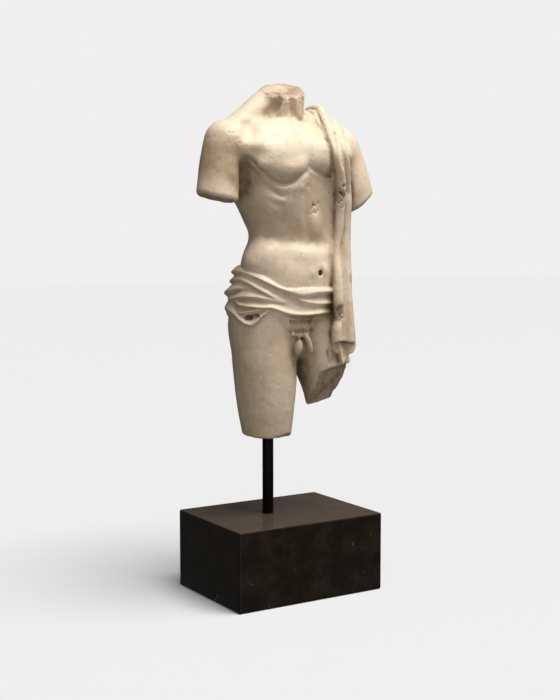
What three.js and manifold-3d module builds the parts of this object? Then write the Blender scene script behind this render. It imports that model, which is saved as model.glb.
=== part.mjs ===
// Marble torso of a standing youth with a mantle, held on a rod above a dark stone plinth.
// Frame: millimetres, +Z up, origin at the centre of the plinth's underside. The figure faces -Y
// and its own left side is towards +X.
import * as THREE from 'three';
import Module from 'manifold-3d';

const wasm = await Module();
wasm.setup();

// ------------------------------------------------------------------ driving dimensions

const PLINTH_WIDTH = 180;
const PLINTH_DEPTH = 133;
const PLINTH_HEIGHT = 85;
const PLINTH_EDGE = 1.2;

const ROD_RADIUS = 6;
const ROD_X = -15;
const ROD_Y = 0.5;
const ROD_SOCKET = 20;
const ROD_IN_THIGH = 45;
const ROD_SIDES = 40;
const FIT_GAP = 0.3;

const THIGH_END = 171.5;
const GRID_LOW = [-118, -84, 160];
const GRID_HIGH = [124, 66, 556];
const GRID_STEP = 2;
const FIGURE_FACES = 9150;
const SECTION_POWER = 2.15;
const OUTSIDE = 40;

// Sections of the trunk: height, centre x, centre y, half width, front depth, back depth.
const TRUNK = [
  [256, 2, 0, 48, 28, 32],
  [272, 2, 0, 55, 35, 40],
  [290, 3, -1, 59, 39, 46],
  [310, 4, -1, 60, 41, 46],
  [330, 7, -2, 59, 42, 40],
  [350, 10, -4, 56, 42, 34],
  [370, 12, -6, 52, 38, 31],
  [388, 11, -7, 49, 35, 30],
  [405, 7, -7, 52, 36, 32],
  [425, 3, -6, 57, 39, 36],
  [445, 0, -5, 59, 42, 39],
  [465, -2, -4, 61, 44, 41],
  [482, -3, -3, 60, 42, 40],
  [497, -3, 0, 52, 35, 34],
  [508, -4, 2, 40, 27, 27],
];
const NECK = [
  [490, -2, 1, 24, 24, 24],
  [505, -1, 1, 22.5, 22, 23],
  [520, 0, 0, 21.5, 21, 22],
  [560, 3, -2, 20, 20, 20],
];
const RIGHT_THIGH = [
  [150, -16, 1, 23, 25, 27],
  [172, -16, 1, 25, 27, 29],
  [200, -18, 0, 29, 30, 32],
  [230, -19.5, -1, 32, 33, 34],
  [262, -21, -2, 32, 35, 37],
  [290, -21, -2, 31, 36, 38],
  [315, -20, -3, 30, 36, 38],
];
const LEFT_THIGH = [
  [190, 64, -6, 26, 27, 29],
  [210, 61, -6, 27, 28, 30],
  [228, 57, -6, 28, 29, 31],
  [245, 54, -6, 28.5, 31, 33],
  [262, 51, -5, 30, 33, 35],
  [290, 42, -4, 31, 36, 37],
  [315, 34, -3, 31, 36, 37],
];

// Rounded masses: centre, radii, turn about x, y, z in degrees, blend into what is there.
const MASSES = {
  rightShoulder: [[-68.5, -6, 479], [21.5, 24, 26], [0, 0, 0], 8],
  leftShoulder: [[70, -9, 479.5], [21, 24, 26], [0, 0, 0], 8],
  rightBreast: [[-18, -31, 464.5], [31, 20, 26], [6, 0, 12], 6],
  rightBreastOuter: [[-46, -24, 477], [25, 15, 15], [0, -22, 24], 7],
  leftBreast: [[20, -33, 467], [27, 18.5, 23], [6, 0, -8], 6],
  leftBreastOuter: [[47, -26, 476], [24, 14, 15], [0, 20, -26], 7],
  rightFlank: [[-44, 8, 460], [13, 26, 34], [0, 5, 0], 10],
  leftFlank: [[47, 8, 452], [13, 26, 38], [0, -5, 0], 10],
  rightBladeBone: [[-34, 26, 468], [20, 12, 26], [0, 10, 0], 10],
  leftBladeBone: [[30, 26, 468], [20, 12, 26], [0, -10, 0], 10],
  rightButtock: [[-19, 20, 288], [27, 24.5, 29], [0, 0, 0], 10],
  leftButtock: [[31, 22, 286], [28, 25, 30], [0, 0, 0], 10],
  rightWaist: [[-26, -16, 358], [24, 20, 20], [0, 0, 0], 14],
  leftWaist: [[42, -14, 356], [20, 20, 20], [0, 0, 0], 14],
  belly: [[14, -22, 340], [34, 23, 32], [0, 0, 0], 14],
  groin: [[3, -30, 290], [20, 12, 12], [0, 0, 0], 6],
};
const GENITALS = {
  right: [[-3, -40, 270], [7.5, 8, 10.5], [0, 6, 0], 2.5],
  left: [[7, -38, 271], [7, 8, 10], [0, 0, 0], 2.5],
};
const NECK_HOLLOWS = [
  [[-15, -24, 523], [8, 8, 9], [0, 0, 0], 4],
  [[9, -26, 522], [7, 7, 8], [0, 0, 0], 4],
];

// Limbs and the shoulder line: points with a radius each.
const SHOULDER_LINE = [[-64, -4, 481, 19], [-35, 3, 491, 17], [-3, 5, 495, 18], [33, 3, 490, 18], [64, -5, 479, 19]];
const RIGHT_TRAPEZIUS = [[-4, 6, 531, 15], [-14, 7, 524.5, 15], [-39, 4, 508.5, 14], [-55, 1, 497, 14]];
const LEFT_TRAPEZIUS = [[8, 6, 522, 15], [30, 5, 507, 14], [50, 1, 494, 13]];
const RIGHT_ARM = [[-71, -7, 484, 21], [-77.5, -10, 460, 21.5], [-84, -15, 410, 21]];
const LEFT_ARM = [[69.5, -10, 482, 20], [78.5, -13, 458, 19.5], [92, -18, 400, 19.5]];
const PENIS = [[2, -45, 287, 4.6], [4, -49, 278, 4.6], [6, -50, 266, 3.6]];

// Broken ends: a point of the break and the direction in which the stone is missing.
const NECK_BREAK = [[[6, 14, 545], [-0.15, -0.25, 1]]];
const RIGHT_ARM_BREAK = [[[-86, -28, 424.5], [-0.2, 0.02, -1]]];
const LEFT_ARM_BREAK = [[[106, -28, 435.5], [0.62, -0.15, -0.78]]];
const LEFT_LEG_BREAK = [
  [[33, -27, 243], [0.33, -0.76, -0.48]],
  [[73, 5, 218], [0.6, 0.05, -0.8]],
  [[50, 0, 205], [-0.1, 0, -1]],
];
const RIGHT_LEG_BREAK = [[[-17, 0, THIGH_END], [-0.05, 0.03, -1]]];

// Lines carved into the skin (or raised, where the depth is negative): width, depth, points.
const CARVED_LINES = {
  rightBreastEdge: [4, 3.4, [[-64, -33, 469], [-52, -45, 457], [-38, -47, 445], [-22, -47, 438], [-8, -49, 441], [3, -50, 451]]],
  leftBreastEdge: [4, 2.8, [[4, -51, 455], [12, -51, 453], [20, -49, 449], [30, -47, 446], [45, -40, 450]]],
  breastbone: [5, 1.6, [[0, -30, 500], [3, -46, 484], [3, -50, 470], [4, -51, 458]]],
  midLine: [4.5, 1, [[4, -49, 448], [8, -47, 425], [14, -45, 392], [18, -46, 365]]],
  belowRibs: [9, 2.6, [[-12, -42, 384], [-2, -44, 388]]],
  navel: [3.4, 4.5, [[13.5, -45, 347.5], [14.5, -45, 347]]],
  rightCollarBone: [5, -1.6, [[-56, -14, 510], [-30, -18, 507], [-6, -25, 508]]],
  armFold: [7, 2, [[-58, -28, 486], [-56, -31, 476]]],
  rightGroin: [5, 1.5, [[-22, -42, 296], [-14, -40, 278], [-6, -36, 258]]],
  spine: [8, 5, [[-2, 34, 505], [0, 38, 480], [3, 36, 450], [11, 28, 385], [9, 32, 355], [4, 46, 300], [4, 40, 270]]],
};
const RIB_COUNT = 3;
const RIB_PITCH = 12.5;
const RIB_WIDTH = 4;
const RIB_DEPTH = 1.4;
const FIRST_RIB = [[-50, -32, 446], [-41, -36, 436], [-28, -41, 422]];

// Cloth round the hips. Upper edge and hem: angle from the front in degrees, height.
const CLOTH_THICKNESS = 3.2;
const CLOTH_EDGE = 2.4;
const CLOTH_CENTRE = [4, -1];
const CLOTH_TOP = [[-180, 350], [-120, 357], [-95, 356], [-64, 350.5], [-36, 339], [-11, 332.5], [20, 332], [60, 336], [120, 345], [180, 350]];
const CLOTH_HEM = [[-180, 286], [-120, 295], [-93, 299], [-67, 294], [-52, 299.5], [-38, 306], [-17, 302.5], [36, 304], [90, 300], [180, 286]];
// Folds of that cloth: angle, height, lift off the hips, radius.
const FOLDS = {
  topRoll: [
    [40, 329, 1, 6], [3, 327, 1, 6], [-20, 330.5, 1.5, 4.6], [-40, 338, 1.8, 4], [-60, 345.5, 2, 4.2],
    [-91, 351, 2.6, 5.4], [-150, 350, 1.5, 5.5], [-210, 343, 1.5, 5.5], [-270, 336, 1.5, 5.5], [-320, 329, 1.5, 6],
  ],
  rollUnderside: [[-34, 331, 2, 1.5], [-16, 324.5, 2, 3], [7, 316.5, 2, 3.4], [50, 318, 2, 3]],
  second: [[-130, 342, 1, 3], [-97, 343, 1.5, 3.6], [-74, 342.5, 1.8, 3.4], [-53, 331, 2, 3], [-33, 320, 2, 2.2], [-8, 312, 1, 1.4]],
  third: [[-150, 334, 1, 4], [-90, 335.5, 1.8, 4], [-78, 334.5, 2, 3], [-60, 328, 1.2, 1.6]],
  fourth: [[-190, 322, 1, 4], [-95, 323, 2.5, 5.4], [-76, 322.5, 2, 3], [-54, 323, 1.8, 2.8], [-24, 313, 1, 2]],
  hemRidge: [
    [-170, 305, 1, 4], [-105, 313, 1, 4], [-79, 316, 2, 2.6], [-44, 314.2, 2.4, 2.8],
    [-24, 307, 2.2, 2.8], [13, 305.3, 2.2, 2.8], [70, 308, 2, 3.2], [120, 299, 1.5, 4], [175, 290, 1.5, 4.5],
  ],
  sideRoll: [[-125, 306, 1, 4], [-94, 308.5, 2, 4.6], [-71, 309.2, 2, 2.2], [-54, 311.8, 1.8, 2]],
  loop: [[-150, 292, 1, 4], [-100, 302, 2, 4], [-80, 297, 2.2, 2.8], [-64, 295.8, 2.2, 2.8], [-51, 302.5, 2.2, 2.8], [-40, 310, 1.5, 2]],
  leftHip: [[55, 326, 1, 3], [80, 324, 1.5, 4.5], [140, 314, 1.5, 5], [170, 306, 1, 4.5]],
  backRoll: [[120, 333, 1, 4], [150, 330, 1.2, 5], [210, 336, 1, 4]],
};
const LOOP_HOLLOW = [[-80, 303.5, 5, 3.2], [-70, 303, 5, 4], [-62, 304.5, 5, 2.8]];

// Mantle: over the left shoulder and hanging down in front; x, y, z, radius.
const MANTLE = {
  filling: [
    [47, 33, 340, 9], [47, 21, 395, 9], [44, 31, 455, 11], [44, 25, 494, 13], [46, 8, 509, 14], [46, -8, 509, 14],
    [45, -22, 501, 12], [44, -34, 488, 10], [47, -43, 458, 9], [49, -41, 388, 9], [51, -40, 282, 9.5],
  ],
  behind: [[50, -28, 450, 8], [54, -28, 400, 10], [54, -28, 340, 11], [54, -28, 290, 10]],
  innerFold: [
    [36, 39, 340, 6], [36, 27, 395, 6], [35, 39, 455, 6], [40, 31, 496, 6.5], [43, 14, 516, 7], [44.5, -3, 517.5, 7],
    [44, -20, 505, 6], [40, -38, 490, 5.6], [39.5, -51, 468, 5.5], [41, -53, 418, 5.5], [40, -52, 361, 5],
    [41, -53, 313, 5.4], [40, -51, 277, 6],
  ],
  outerFold: [
    [55, 34, 340, 7], [54, 19, 395, 7], [53, 31, 455, 7], [55, 27, 492, 7], [58, 8, 504, 7], [57, -12, 505, 7],
    [56, -30, 494, 5.6], [55, -45, 474, 5.2], [56, -47, 429, 6.5], [57, -46, 335, 7], [60, -46, 292, 9], [61, -45, 276, 9.2],
  ],
  tip: [[54, -46, 290, 9], [50, -46, 262, 4]],
  neckEdge: [[33, 12, 510, 5], [36, 0, 516, 5], [38, -12, 511, 4], [37, -26, 498, 3]],
};

// ------------------------------------------------------------------ small mathematics

function blendMin(a, b, reach) {
  const h = Math.max(reach - Math.abs(a - b), 0);
  return Math.min(a, b) - (h * h) / (4 * reach);
}

function blendMax(a, b, reach) {
  return -blendMin(-a, -b, reach);
}

// A smooth curve through rows of numbers, sampled a fixed number of times per span.
function curveThrough(rows, perSpan) {
  const samples = [];
  const last = rows.length - 1;
  const row = (i) => {
    if (i < 0) {
      return rows[0].map((v, k) => 2 * v - rows[1][k]);
    }
    if (i > last) {
      return rows[last].map((v, k) => 2 * v - rows[last - 1][k]);
    }
    return rows[i];
  };
  for (let i = 0; i < last; i += 1) {
    const [a, b, c, d] = [row(i - 1), row(i), row(i + 1), row(i + 2)];
    for (let j = 0; j < perSpan; j += 1) {
      const t = j / perSpan;
      samples.push(b.map((v, k) => 0.5 * (2 * v + (c[k] - a[k]) * t
        + (2 * a[k] - 5 * v + 4 * c[k] - d[k]) * t * t
        + (3 * v - 3 * c[k] + d[k] - a[k]) * t * t * t)));
    }
  }
  samples.push(rows[last]);
  return samples;
}

// Value of every column of a table at a place along its first column, with smooth joints.
function tableAt(rows, place) {
  const last = rows.length - 1;
  let i = 0;
  while (i < last - 1 && place > rows[i + 1][0]) {
    i += 1;
  }
  const [low, high] = [rows[i], rows[i + 1]];
  const span = high[0] - low[0];
  const t = Math.min(Math.max((place - low[0]) / span, 0), 1);
  const before = rows[Math.max(i - 1, 0)];
  const after = rows[Math.min(i + 2, last)];
  return low.slice(1).map((v, k) => {
    const w = high[k + 1];
    const slopeLow = (w - before[k + 1]) / (high[0] - before[0]);
    const slopeHigh = (after[k + 1] - v) / (after[0] - low[0]);
    return (1 + 2 * t) * (1 - t) * (1 - t) * v + t * (1 - t) * (1 - t) * span * slopeLow
      + t * t * (3 - 2 * t) * w + t * t * (t - 1) * span * slopeHigh;
  });
}

// ------------------------------------------------------------------ forms
// A form has a box {low, high} and a function slice(z) that gives the signed distance (x, y) => mm.

// Rounded mass with three radii, turned about its centre.
function ellipsoid([centre, radii, turn]) {
  const angles = turn.map((v) => THREE.MathUtils.degToRad(v));
  const rotation = new THREE.Matrix4().makeRotationFromEuler(new THREE.Euler(...angles, 'ZYX'));
  const m = rotation.elements;
  const reach = [0, 1, 2].map((i) => Math.hypot(...[0, 1, 2].map((k) => m[4 * k + i] * radii[k])));
  const slice = (z) => (x, y) => {
    const [dx, dy, dz] = [x - centre[0], y - centre[1], z - centre[2]];
    let inner = 0;
    let outer = 0;
    for (let k = 0; k < 3; k += 1) {
      const along = (m[4 * k] * dx + m[4 * k + 1] * dy + m[4 * k + 2] * dz) / radii[k];
      inner += along * along;
      outer += (along / radii[k]) ** 2;
    }
    const k0 = Math.sqrt(inner);
    return (k0 * (k0 - 1)) / Math.max(Math.sqrt(outer), 1e-6);
  };
  return { low: centre.map((v, i) => v - reach[i]), high: centre.map((v, i) => v + reach[i]), slice };
}

// Round rope along a smooth curve; each row is x, y, z, radius.
function rope(rows, perSpan = 4) {
  const path = rows.length > 2 ? curveThrough(rows, perSpan) : rows;
  const low = [0, 1, 2].map((i) => Math.min(...path.map((p) => p[i] - p[3])));
  const high = [0, 1, 2].map((i) => Math.max(...path.map((p) => p[i] + p[3])));
  const pieces = path.slice(1).map((b, i) => {
    const a = path[i];
    const v = [b[0] - a[0], b[1] - a[1], b[2] - a[2]];
    return { a, v, grow: b[3] - a[3], square: v[0] * v[0] + v[1] * v[1] + v[2] * v[2] };
  });
  const slice = (z) => (x, y) => {
    let best = Infinity;
    for (const { a, v, grow, square } of pieces) {
      const [dx, dy, dz] = [x - a[0], y - a[1], z - a[2]];
      const t = Math.min(Math.max((dx * v[0] + dy * v[1] + dz * v[2]) / square, 0), 1);
      const away = Math.sqrt((dx - t * v[0]) ** 2 + (dy - t * v[1]) ** 2 + (dz - t * v[2]) ** 2);
      best = Math.min(best, away - a[3] - t * grow);
    }
    return best;
  };
  return { low, high, slice };
}

// Sections stacked upwards: height, centre x, centre y, half width, front depth, back depth.
function loft(rows, capBlend, grow = 0) {
  const last = rows.length - 1;
  const low = [
    Math.min(...rows.map((r) => r[1] - r[3])) - grow,
    Math.min(...rows.map((r) => r[2] - r[4])) - grow,
    rows[0][0],
  ];
  const high = [
    Math.max(...rows.map((r) => r[1] + r[3])) + grow,
    Math.max(...rows.map((r) => r[2] + r[5])) + grow,
    rows[last][0],
  ];
  const slice = (z) => {
    const [cx, cy, half, front, back] = tableAt(rows, z);
    const beyond = Math.max(rows[0][0] - z, z - rows[last][0]);
    return (x, y) => {
      const depth = y < cy ? front : back;
      const u = Math.abs(x - cx) / half;
      const v = Math.abs(y - cy) / depth;
      const level = (u ** SECTION_POWER + v ** SECTION_POWER) ** (1 / SECTION_POWER);
      const steep = Math.hypot(u / half, v / depth);
      const across = steep > 1e-6 ? ((level - 1) * Math.hypot(u, v)) / steep : -half;
      return blendMax(across - grow, beyond, capBlend);
    };
  };
  return { low, high, slice };
}

// A form ended by flat breaks; each break is a point and the direction of the missing stone.
function broken(form, breaks, edge) {
  const planes = breaks.map(([point, away]) => {
    const n = new THREE.Vector3(...away).normalize();
    return { n, offset: n.dot(new THREE.Vector3(...point)) };
  });
  const slice = (z) => {
    const inner = form.slice(z);
    return (x, y) => planes.reduce(
      (d, { n, offset }) => blendMax(d, n.x * x + n.y * y + n.z * z - offset, edge),
      inner(x, y),
    );
  };
  return { low: form.low, high: form.high, slice };
}

// Point on the hips at an angle from the front, lifted off the skin.
function onHips(angle, height, lift) {
  const [cx, cy, half, front, back] = tableAt(TRUNK, height);
  const turn = THREE.MathUtils.degToRad(angle);
  const [s, c] = [Math.sin(turn), Math.cos(turn)];
  const depth = c > 0 ? front : back;
  const level = (Math.abs(s) / half) ** SECTION_POWER + (Math.abs(c) / depth) ** SECTION_POWER;
  const out = level ** (-1 / SECTION_POWER) + lift;
  return [cx + out * s, cy - out * c, height];
}

// Rope that follows the hips; each row is angle, height, lift, radius.
function hipFold(rows) {
  const path = curveThrough(rows, 6).map(([angle, height, lift, radius]) => (
    [...onHips(angle, height, lift), radius]
  ));
  return rope(path, 1);
}

// Layer of cloth on the hips between its upper edge and its hem.
function hipCloth() {
  const skin = loft(TRUNK, 14, CLOTH_THICKNESS);
  const slice = (z) => {
    const inner = skin.slice(z);
    return (x, y) => {
      const angle = THREE.MathUtils.radToDeg(Math.atan2(x - CLOTH_CENTRE[0], CLOTH_CENTRE[1] - y));
      const below = z - tableAt(CLOTH_TOP, angle)[0];
      const above = tableAt(CLOTH_HEM, angle)[0] - z;
      return blendMax(blendMax(inner(x, y), below, CLOTH_EDGE), above, CLOTH_EDGE);
    };
  };
  return { low: [skin.low[0], skin.low[1], 280], high: [skin.high[0], skin.high[1], 362], slice };
}

// ------------------------------------------------------------------ the block that is carved

const CELL_CORNERS = Array.from({ length: 8 }, (_, a) => [a & 1, (a >> 1) & 1, (a >> 2) & 1]);

// True where the chosen corners of a cell hang together along its edges.
function together(mask) {
  const chosen = CELL_CORNERS.map((_, a) => a).filter((a) => mask & (1 << a));
  const reached = new Set(chosen.slice(0, 1));
  for (const a of reached) {
    [1, 2, 4].map((bit) => a ^ bit).filter((b) => mask & (1 << b)).forEach((b) => reached.add(b));
  }
  return reached.size === chosen.length;
}

// True where a cell's corners would give more than one sheet of skin, or a sheet that forks on a side.
function tangled(mask) {
  const forked = [[1, 2], [2, 4], [4, 1]].some(([p, q]) => CELL_CORNERS.some((_, a) => {
    const ring = [a, a ^ p, a ^ p ^ q, a ^ q].map((b) => (mask >> b) & 1);
    return ring[0] === ring[2] && ring[1] === ring[3] && ring[0] !== ring[1];
  }));
  return forked || !together(mask) || !together(~mask & 255);
}

const TANGLED = Array.from({ length: 256 }, (_, mask) => tangled(mask));

// A grid of signed distances: forms are added to it, cut out of it or carved along lines.
class Block {
  constructor(low, high, step) {
    this.low = low;
    this.step = step;
    this.size = low.map((v, i) => Math.round((high[i] - v) / step) + 1);
    this.distance = new Float32Array(this.size[0] * this.size[1] * this.size[2]).fill(OUTSIDE);
  }

  index(i, j, k) {
    return (k * this.size[1] + j) * this.size[0] + i;
  }

  // Visit the grid points of a box that is widened by a margin.
  visit(low, high, margin, change) {
    const from = low.map((v, i) => Math.max(Math.floor((v - margin - this.low[i]) / this.step), 0));
    const to = high.map((v, i) => (
      Math.min(Math.ceil((v + margin - this.low[i]) / this.step), this.size[i] - 1)
    ));
    for (let k = from[2]; k <= to[2]; k += 1) {
      const z = this.low[2] + k * this.step;
      const at = change(z);
      for (let j = from[1]; j <= to[1]; j += 1) {
        const y = this.low[1] + j * this.step;
        for (let i = from[0]; i <= to[0]; i += 1) {
          const n = this.index(i, j, k);
          this.distance[n] = at(this.distance[n], this.low[0] + i * this.step, y);
        }
      }
    }
  }

  add(form, blend) {
    this.visit(form.low, form.high, Math.max(blend, 14), (z) => {
      const shape = form.slice(z);
      return (d, x, y) => blendMin(d, shape(x, y), blend);
    });
  }

  cut(form, blend) {
    this.visit(form.low, form.high, blend + 2, (z) => {
      const shape = form.slice(z);
      return (d, x, y) => blendMax(d, -shape(x, y), blend);
    });
  }

  carve(width, depth, points) {
    const line = rope(points.map((p) => [...p, 0]));
    this.visit(line.low, line.high, 2.6 * width, (z) => {
      const away = line.slice(z);
      return (d, x, y) => d + depth * Math.exp(-((away(x, y) / width) ** 2));
    });
  }

  // Fill every pocket that the air around the block can't reach.
  fillPockets() {
    const steps = [this.index(1, 0, 0), this.index(0, 1, 0), this.index(0, 0, 1)];
    const reached = new Uint8Array(this.distance.length);
    const queue = [0];
    reached[0] = 1;
    while (queue.length > 0) {
      const here = queue.pop();
      for (const move of [...steps, ...steps.map((v) => -v)]) {
        const next = here + move;
        if (this.distance[next] >= 0 && !reached[next]) {
          reached[next] = 1;
          queue.push(next);
        }
      }
    }
    for (let n = 0; n < reached.length; n += 1) {
      if (this.distance[n] >= 0 && !reached[n]) {
        this.distance[n] = -this.step / 20;
      }
    }
  }

  // Fill the grid points that would leave the skin touching itself along an edge or at a corner.
  settle() {
    const [nx, ny, nz] = this.size;
    const offsets = CELL_CORNERS.map(([u, v, w]) => this.index(u, v, w));
    let changed = true;
    while (changed) {
      changed = false;
      for (let k = 0; k < nz - 1; k += 1) {
        for (let j = 0; j < ny - 1; j += 1) {
          for (let i = 0; i < nx - 1; i += 1) {
            const here = this.index(i, j, k);
            let mask = 0;
            for (let a = 0; a < 8; a += 1) {
              mask |= this.distance[here + offsets[a]] < 0 ? 1 << a : 0;
            }
            if (TANGLED[mask]) {
              const open = offsets.filter((_, a) => !(mask & (1 << a)));
              open.sort((p, q) => this.distance[here + p] - this.distance[here + q]);
              this.distance[here + open[0]] = -this.step / 20;
              changed = true;
            }
          }
        }
      }
    }
  }

  // Closed skin of the block: one vertex per crossed cell, one quad per crossed grid edge.
  skin() {
    const [nx, ny, nz] = this.size;
    const vertexOf = new Int32Array(nx * ny * nz).fill(-1);
    const positions = [];
    const edges = [];
    for (let a = 0; a < 8; a += 1) {
      for (const bit of [1, 2, 4]) {
        if (!(a & bit)) {
          edges.push([a, a | bit]);
        }
      }
    }
    for (let k = 0; k < nz - 1; k += 1) {
      for (let j = 0; j < ny - 1; j += 1) {
        for (let i = 0; i < nx - 1; i += 1) {
          const d = [];
          let inside = 0;
          for (let a = 0; a < 8; a += 1) {
            const [u, v, w] = CELL_CORNERS[a];
            d.push(this.distance[this.index(i + u, j + v, k + w)]);
            inside += d[a] < 0 ? 1 : 0;
          }
          if (inside > 0 && inside < 8) {
            const sum = [0, 0, 0];
            let count = 0;
            for (const [a, b] of edges) {
              if ((d[a] < 0) !== (d[b] < 0)) {
                const t = d[a] / (d[a] - d[b]);
                const [p, q] = [CELL_CORNERS[a], CELL_CORNERS[b]];
                sum.forEach((v, n) => {
                  sum[n] = v + p[n] + t * (q[n] - p[n]);
                });
                count += 1;
              }
            }
            vertexOf[this.index(i, j, k)] = positions.length;
            positions.push([i, j, k].map((v, n) => this.low[n] + (v + sum[n] / count) * this.step));
          }
        }
      }
    }
    const faces = [];
    const strides = [this.index(1, 0, 0), this.index(0, 1, 0), this.index(0, 0, 1)];
    for (let k = 1; k < nz - 1; k += 1) {
      for (let j = 1; j < ny - 1; j += 1) {
        for (let i = 1; i < nx - 1; i += 1) {
          const here = this.index(i, j, k);
          for (let axis = 0; axis < 3; axis += 1) {
            const solid = this.distance[here] < 0;
            if (solid !== this.distance[here + strides[axis]] < 0) {
              const s = strides[(axis + 1) % 3];
              const t = strides[(axis + 2) % 3];
              const ring = [here - s - t, here - t, here, here - s].map((n) => vertexOf[n]);
              const [a, b, c, e] = solid ? ring : ring.reverse();
              faces.push([a, b, c], [a, c, e]);
            }
          }
        }
      }
    }
    return { positions, faces };
  }
}

// ------------------------------------------------------------------ fewer, larger faces

// Merges neighbouring vertices where that changes the skin least, until few enough faces are left.
class Facetter {
  constructor({ positions, faces }) {
    this.points = positions.map((p) => new THREE.Vector3(...p));
    this.faces = faces.map((f) => [...f]);
    this.alive = this.faces.map(() => true);
    this.around = this.points.map(() => new Set());
    this.quadrics = this.points.map(() => new Float64Array(10));
    this.version = new Int32Array(this.points.length);
    this.count = this.faces.length;
    this.faces.forEach((face, n) => {
      face.forEach((v) => this.around[v].add(n));
      this.addPlane(face);
    });
    this.heap = [];
    this.points.forEach((_, v) => this.pushEdges(v, true));
  }

  normal(a, b, c) {
    return new THREE.Vector3().subVectors(b, a).cross(new THREE.Vector3().subVectors(c, a));
  }

  addPlane(face) {
    const [a, b, c] = face.map((v) => this.points[v]);
    const n = this.normal(a, b, c);
    const area = n.length();
    if (area === 0) {
      return;
    }
    n.divideScalar(area);
    const plane = [n.x, n.y, n.z, -n.dot(a)];
    for (const v of face) {
      let slot = 0;
      for (let i = 0; i < 4; i += 1) {
        for (let j = i; j < 4; j += 1) {
          this.quadrics[v][slot] += area * plane[i] * plane[j];
          slot += 1;
        }
      }
    }
  }

  neighbours(v) {
    const found = new Set();
    for (const n of this.around[v]) {
      this.faces[n].forEach((w) => found.add(w));
    }
    found.delete(v);
    return found;
  }

  cost(q, p) {
    const { x, y, z } = p;
    return q[0] * x * x + 2 * q[1] * x * y + 2 * q[2] * x * z + 2 * q[3] * x + q[4] * y * y
      + 2 * q[5] * y * z + 2 * q[6] * y + q[7] * z * z + 2 * q[8] * z + q[9];
  }

  // Best place for the vertex that replaces two, and what it costs.
  merged(a, b) {
    const q = this.quadrics[a].map((v, i) => v + this.quadrics[b][i]);
    const middle = new THREE.Vector3().addVectors(this.points[a], this.points[b]).multiplyScalar(0.5);
    const reach = this.points[a].distanceTo(this.points[b]);
    const trace = 1e-3 * (q[0] + q[4] + q[7]);
    const m = new THREE.Matrix3().set(
      q[0] + trace, q[1], q[2],
      q[1], q[4] + trace, q[5],
      q[2], q[5], q[7] + trace,
    );
    const best = middle.clone();
    if (Math.abs(m.determinant()) > 1e-12) {
      const right = new THREE.Vector3(
        trace * middle.x - q[3],
        trace * middle.y - q[6],
        trace * middle.z - q[8],
      );
      best.copy(right.applyMatrix3(m.invert()));
      if (best.distanceTo(middle) > reach) {
        best.copy(middle);
      }
    }
    return { place: best, cost: this.cost(q, best) + 1e-4 * reach * reach };
  }

  push(item) {
    const { heap } = this;
    heap.push(item);
    let i = heap.length - 1;
    while (i > 0) {
      const parent = (i - 1) >> 1;
      if (heap[parent].cost <= heap[i].cost) {
        break;
      }
      [heap[parent], heap[i]] = [heap[i], heap[parent]];
      i = parent;
    }
  }

  pop() {
    const { heap } = this;
    const top = heap[0];
    const end = heap.pop();
    if (heap.length > 0) {
      heap[0] = end;
      let i = 0;
      for (;;) {
        let least = i;
        for (const child of [2 * i + 1, 2 * i + 2]) {
          if (child < heap.length && heap[child].cost < heap[least].cost) {
            least = child;
          }
        }
        if (least === i) {
          break;
        }
        [heap[least], heap[i]] = [heap[i], heap[least]];
        i = least;
      }
    }
    return top;
  }

  pushEdges(v, onlyLater = false) {
    for (const w of this.neighbours(v)) {
      if (!onlyLater || w > v) {
        const { place, cost } = this.merged(v, w);
        this.push({ a: v, b: w, place, cost, stamp: this.version[v] + this.version[w] });
      }
    }
  }

  // A merge is allowed where the skin stays closed, simple and unfolded.
  allowed({ a, b, place }) {
    const near = this.neighbours(b);
    const shared = [...this.neighbours(a)].filter((v) => near.has(v));
    if (shared.length !== 2) {
      return false;
    }
    for (const [v, other] of [[a, b], [b, a]]) {
      for (const n of this.around[v]) {
        const face = this.faces[n];
        if (!face.includes(other)) {
          const before = face.map((w) => this.points[w]);
          const after = face.map((w) => (w === v ? place : this.points[w]));
          const old = this.normal(...before);
          const now = this.normal(...after);
          const longest = Math.max(
            after[0].distanceToSquared(after[1]),
            after[1].distanceToSquared(after[2]),
            after[2].distanceToSquared(after[0]),
          );
          if (now.dot(old) < 0.35 * now.length() * old.length() || now.length() < 0.08 * longest) {
            return false;
          }
        }
      }
    }
    return true;
  }

  merge({ a, b, place }) {
    this.points[a].copy(place);
    this.quadrics[a].forEach((v, i) => {
      this.quadrics[a][i] = v + this.quadrics[b][i];
    });
    for (const n of [...this.around[b]]) {
      const face = this.faces[n];
      if (face.includes(a)) {
        this.alive[n] = false;
        this.count -= 1;
        face.forEach((v) => this.around[v].delete(n));
      } else {
        face[face.indexOf(b)] = a;
        this.around[a].add(n);
      }
    }
    this.around[b].clear();
    this.version[a] += 1;
    this.version[b] += 1e6;
    this.pushEdges(a);
  }

  reduce(target) {
    while (this.count > target && this.heap.length > 0) {
      const item = this.pop();
      const fresh = item.stamp === this.version[item.a] + this.version[item.b];
      if (fresh && this.allowed(item)) {
        this.merge(item);
      }
    }
    const used = new Map();
    const positions = [];
    const triangles = [];
    this.faces.forEach((face, n) => {
      if (this.alive[n]) {
        for (const v of face) {
          if (!used.has(v)) {
            used.set(v, used.size);
            positions.push(...this.points[v].toArray());
          }
          triangles.push(used.get(v));
        }
      }
    });
    return { positions, triangles };
  }
}

// ------------------------------------------------------------------ solids

function solidOf(positions, triangles) {
  const mesh = new wasm.Mesh({
    numProp: 3,
    vertProperties: new Float32Array(positions),
    triVerts: new Uint32Array(triangles),
  });
  return new wasm.Manifold(mesh);
}

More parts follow.
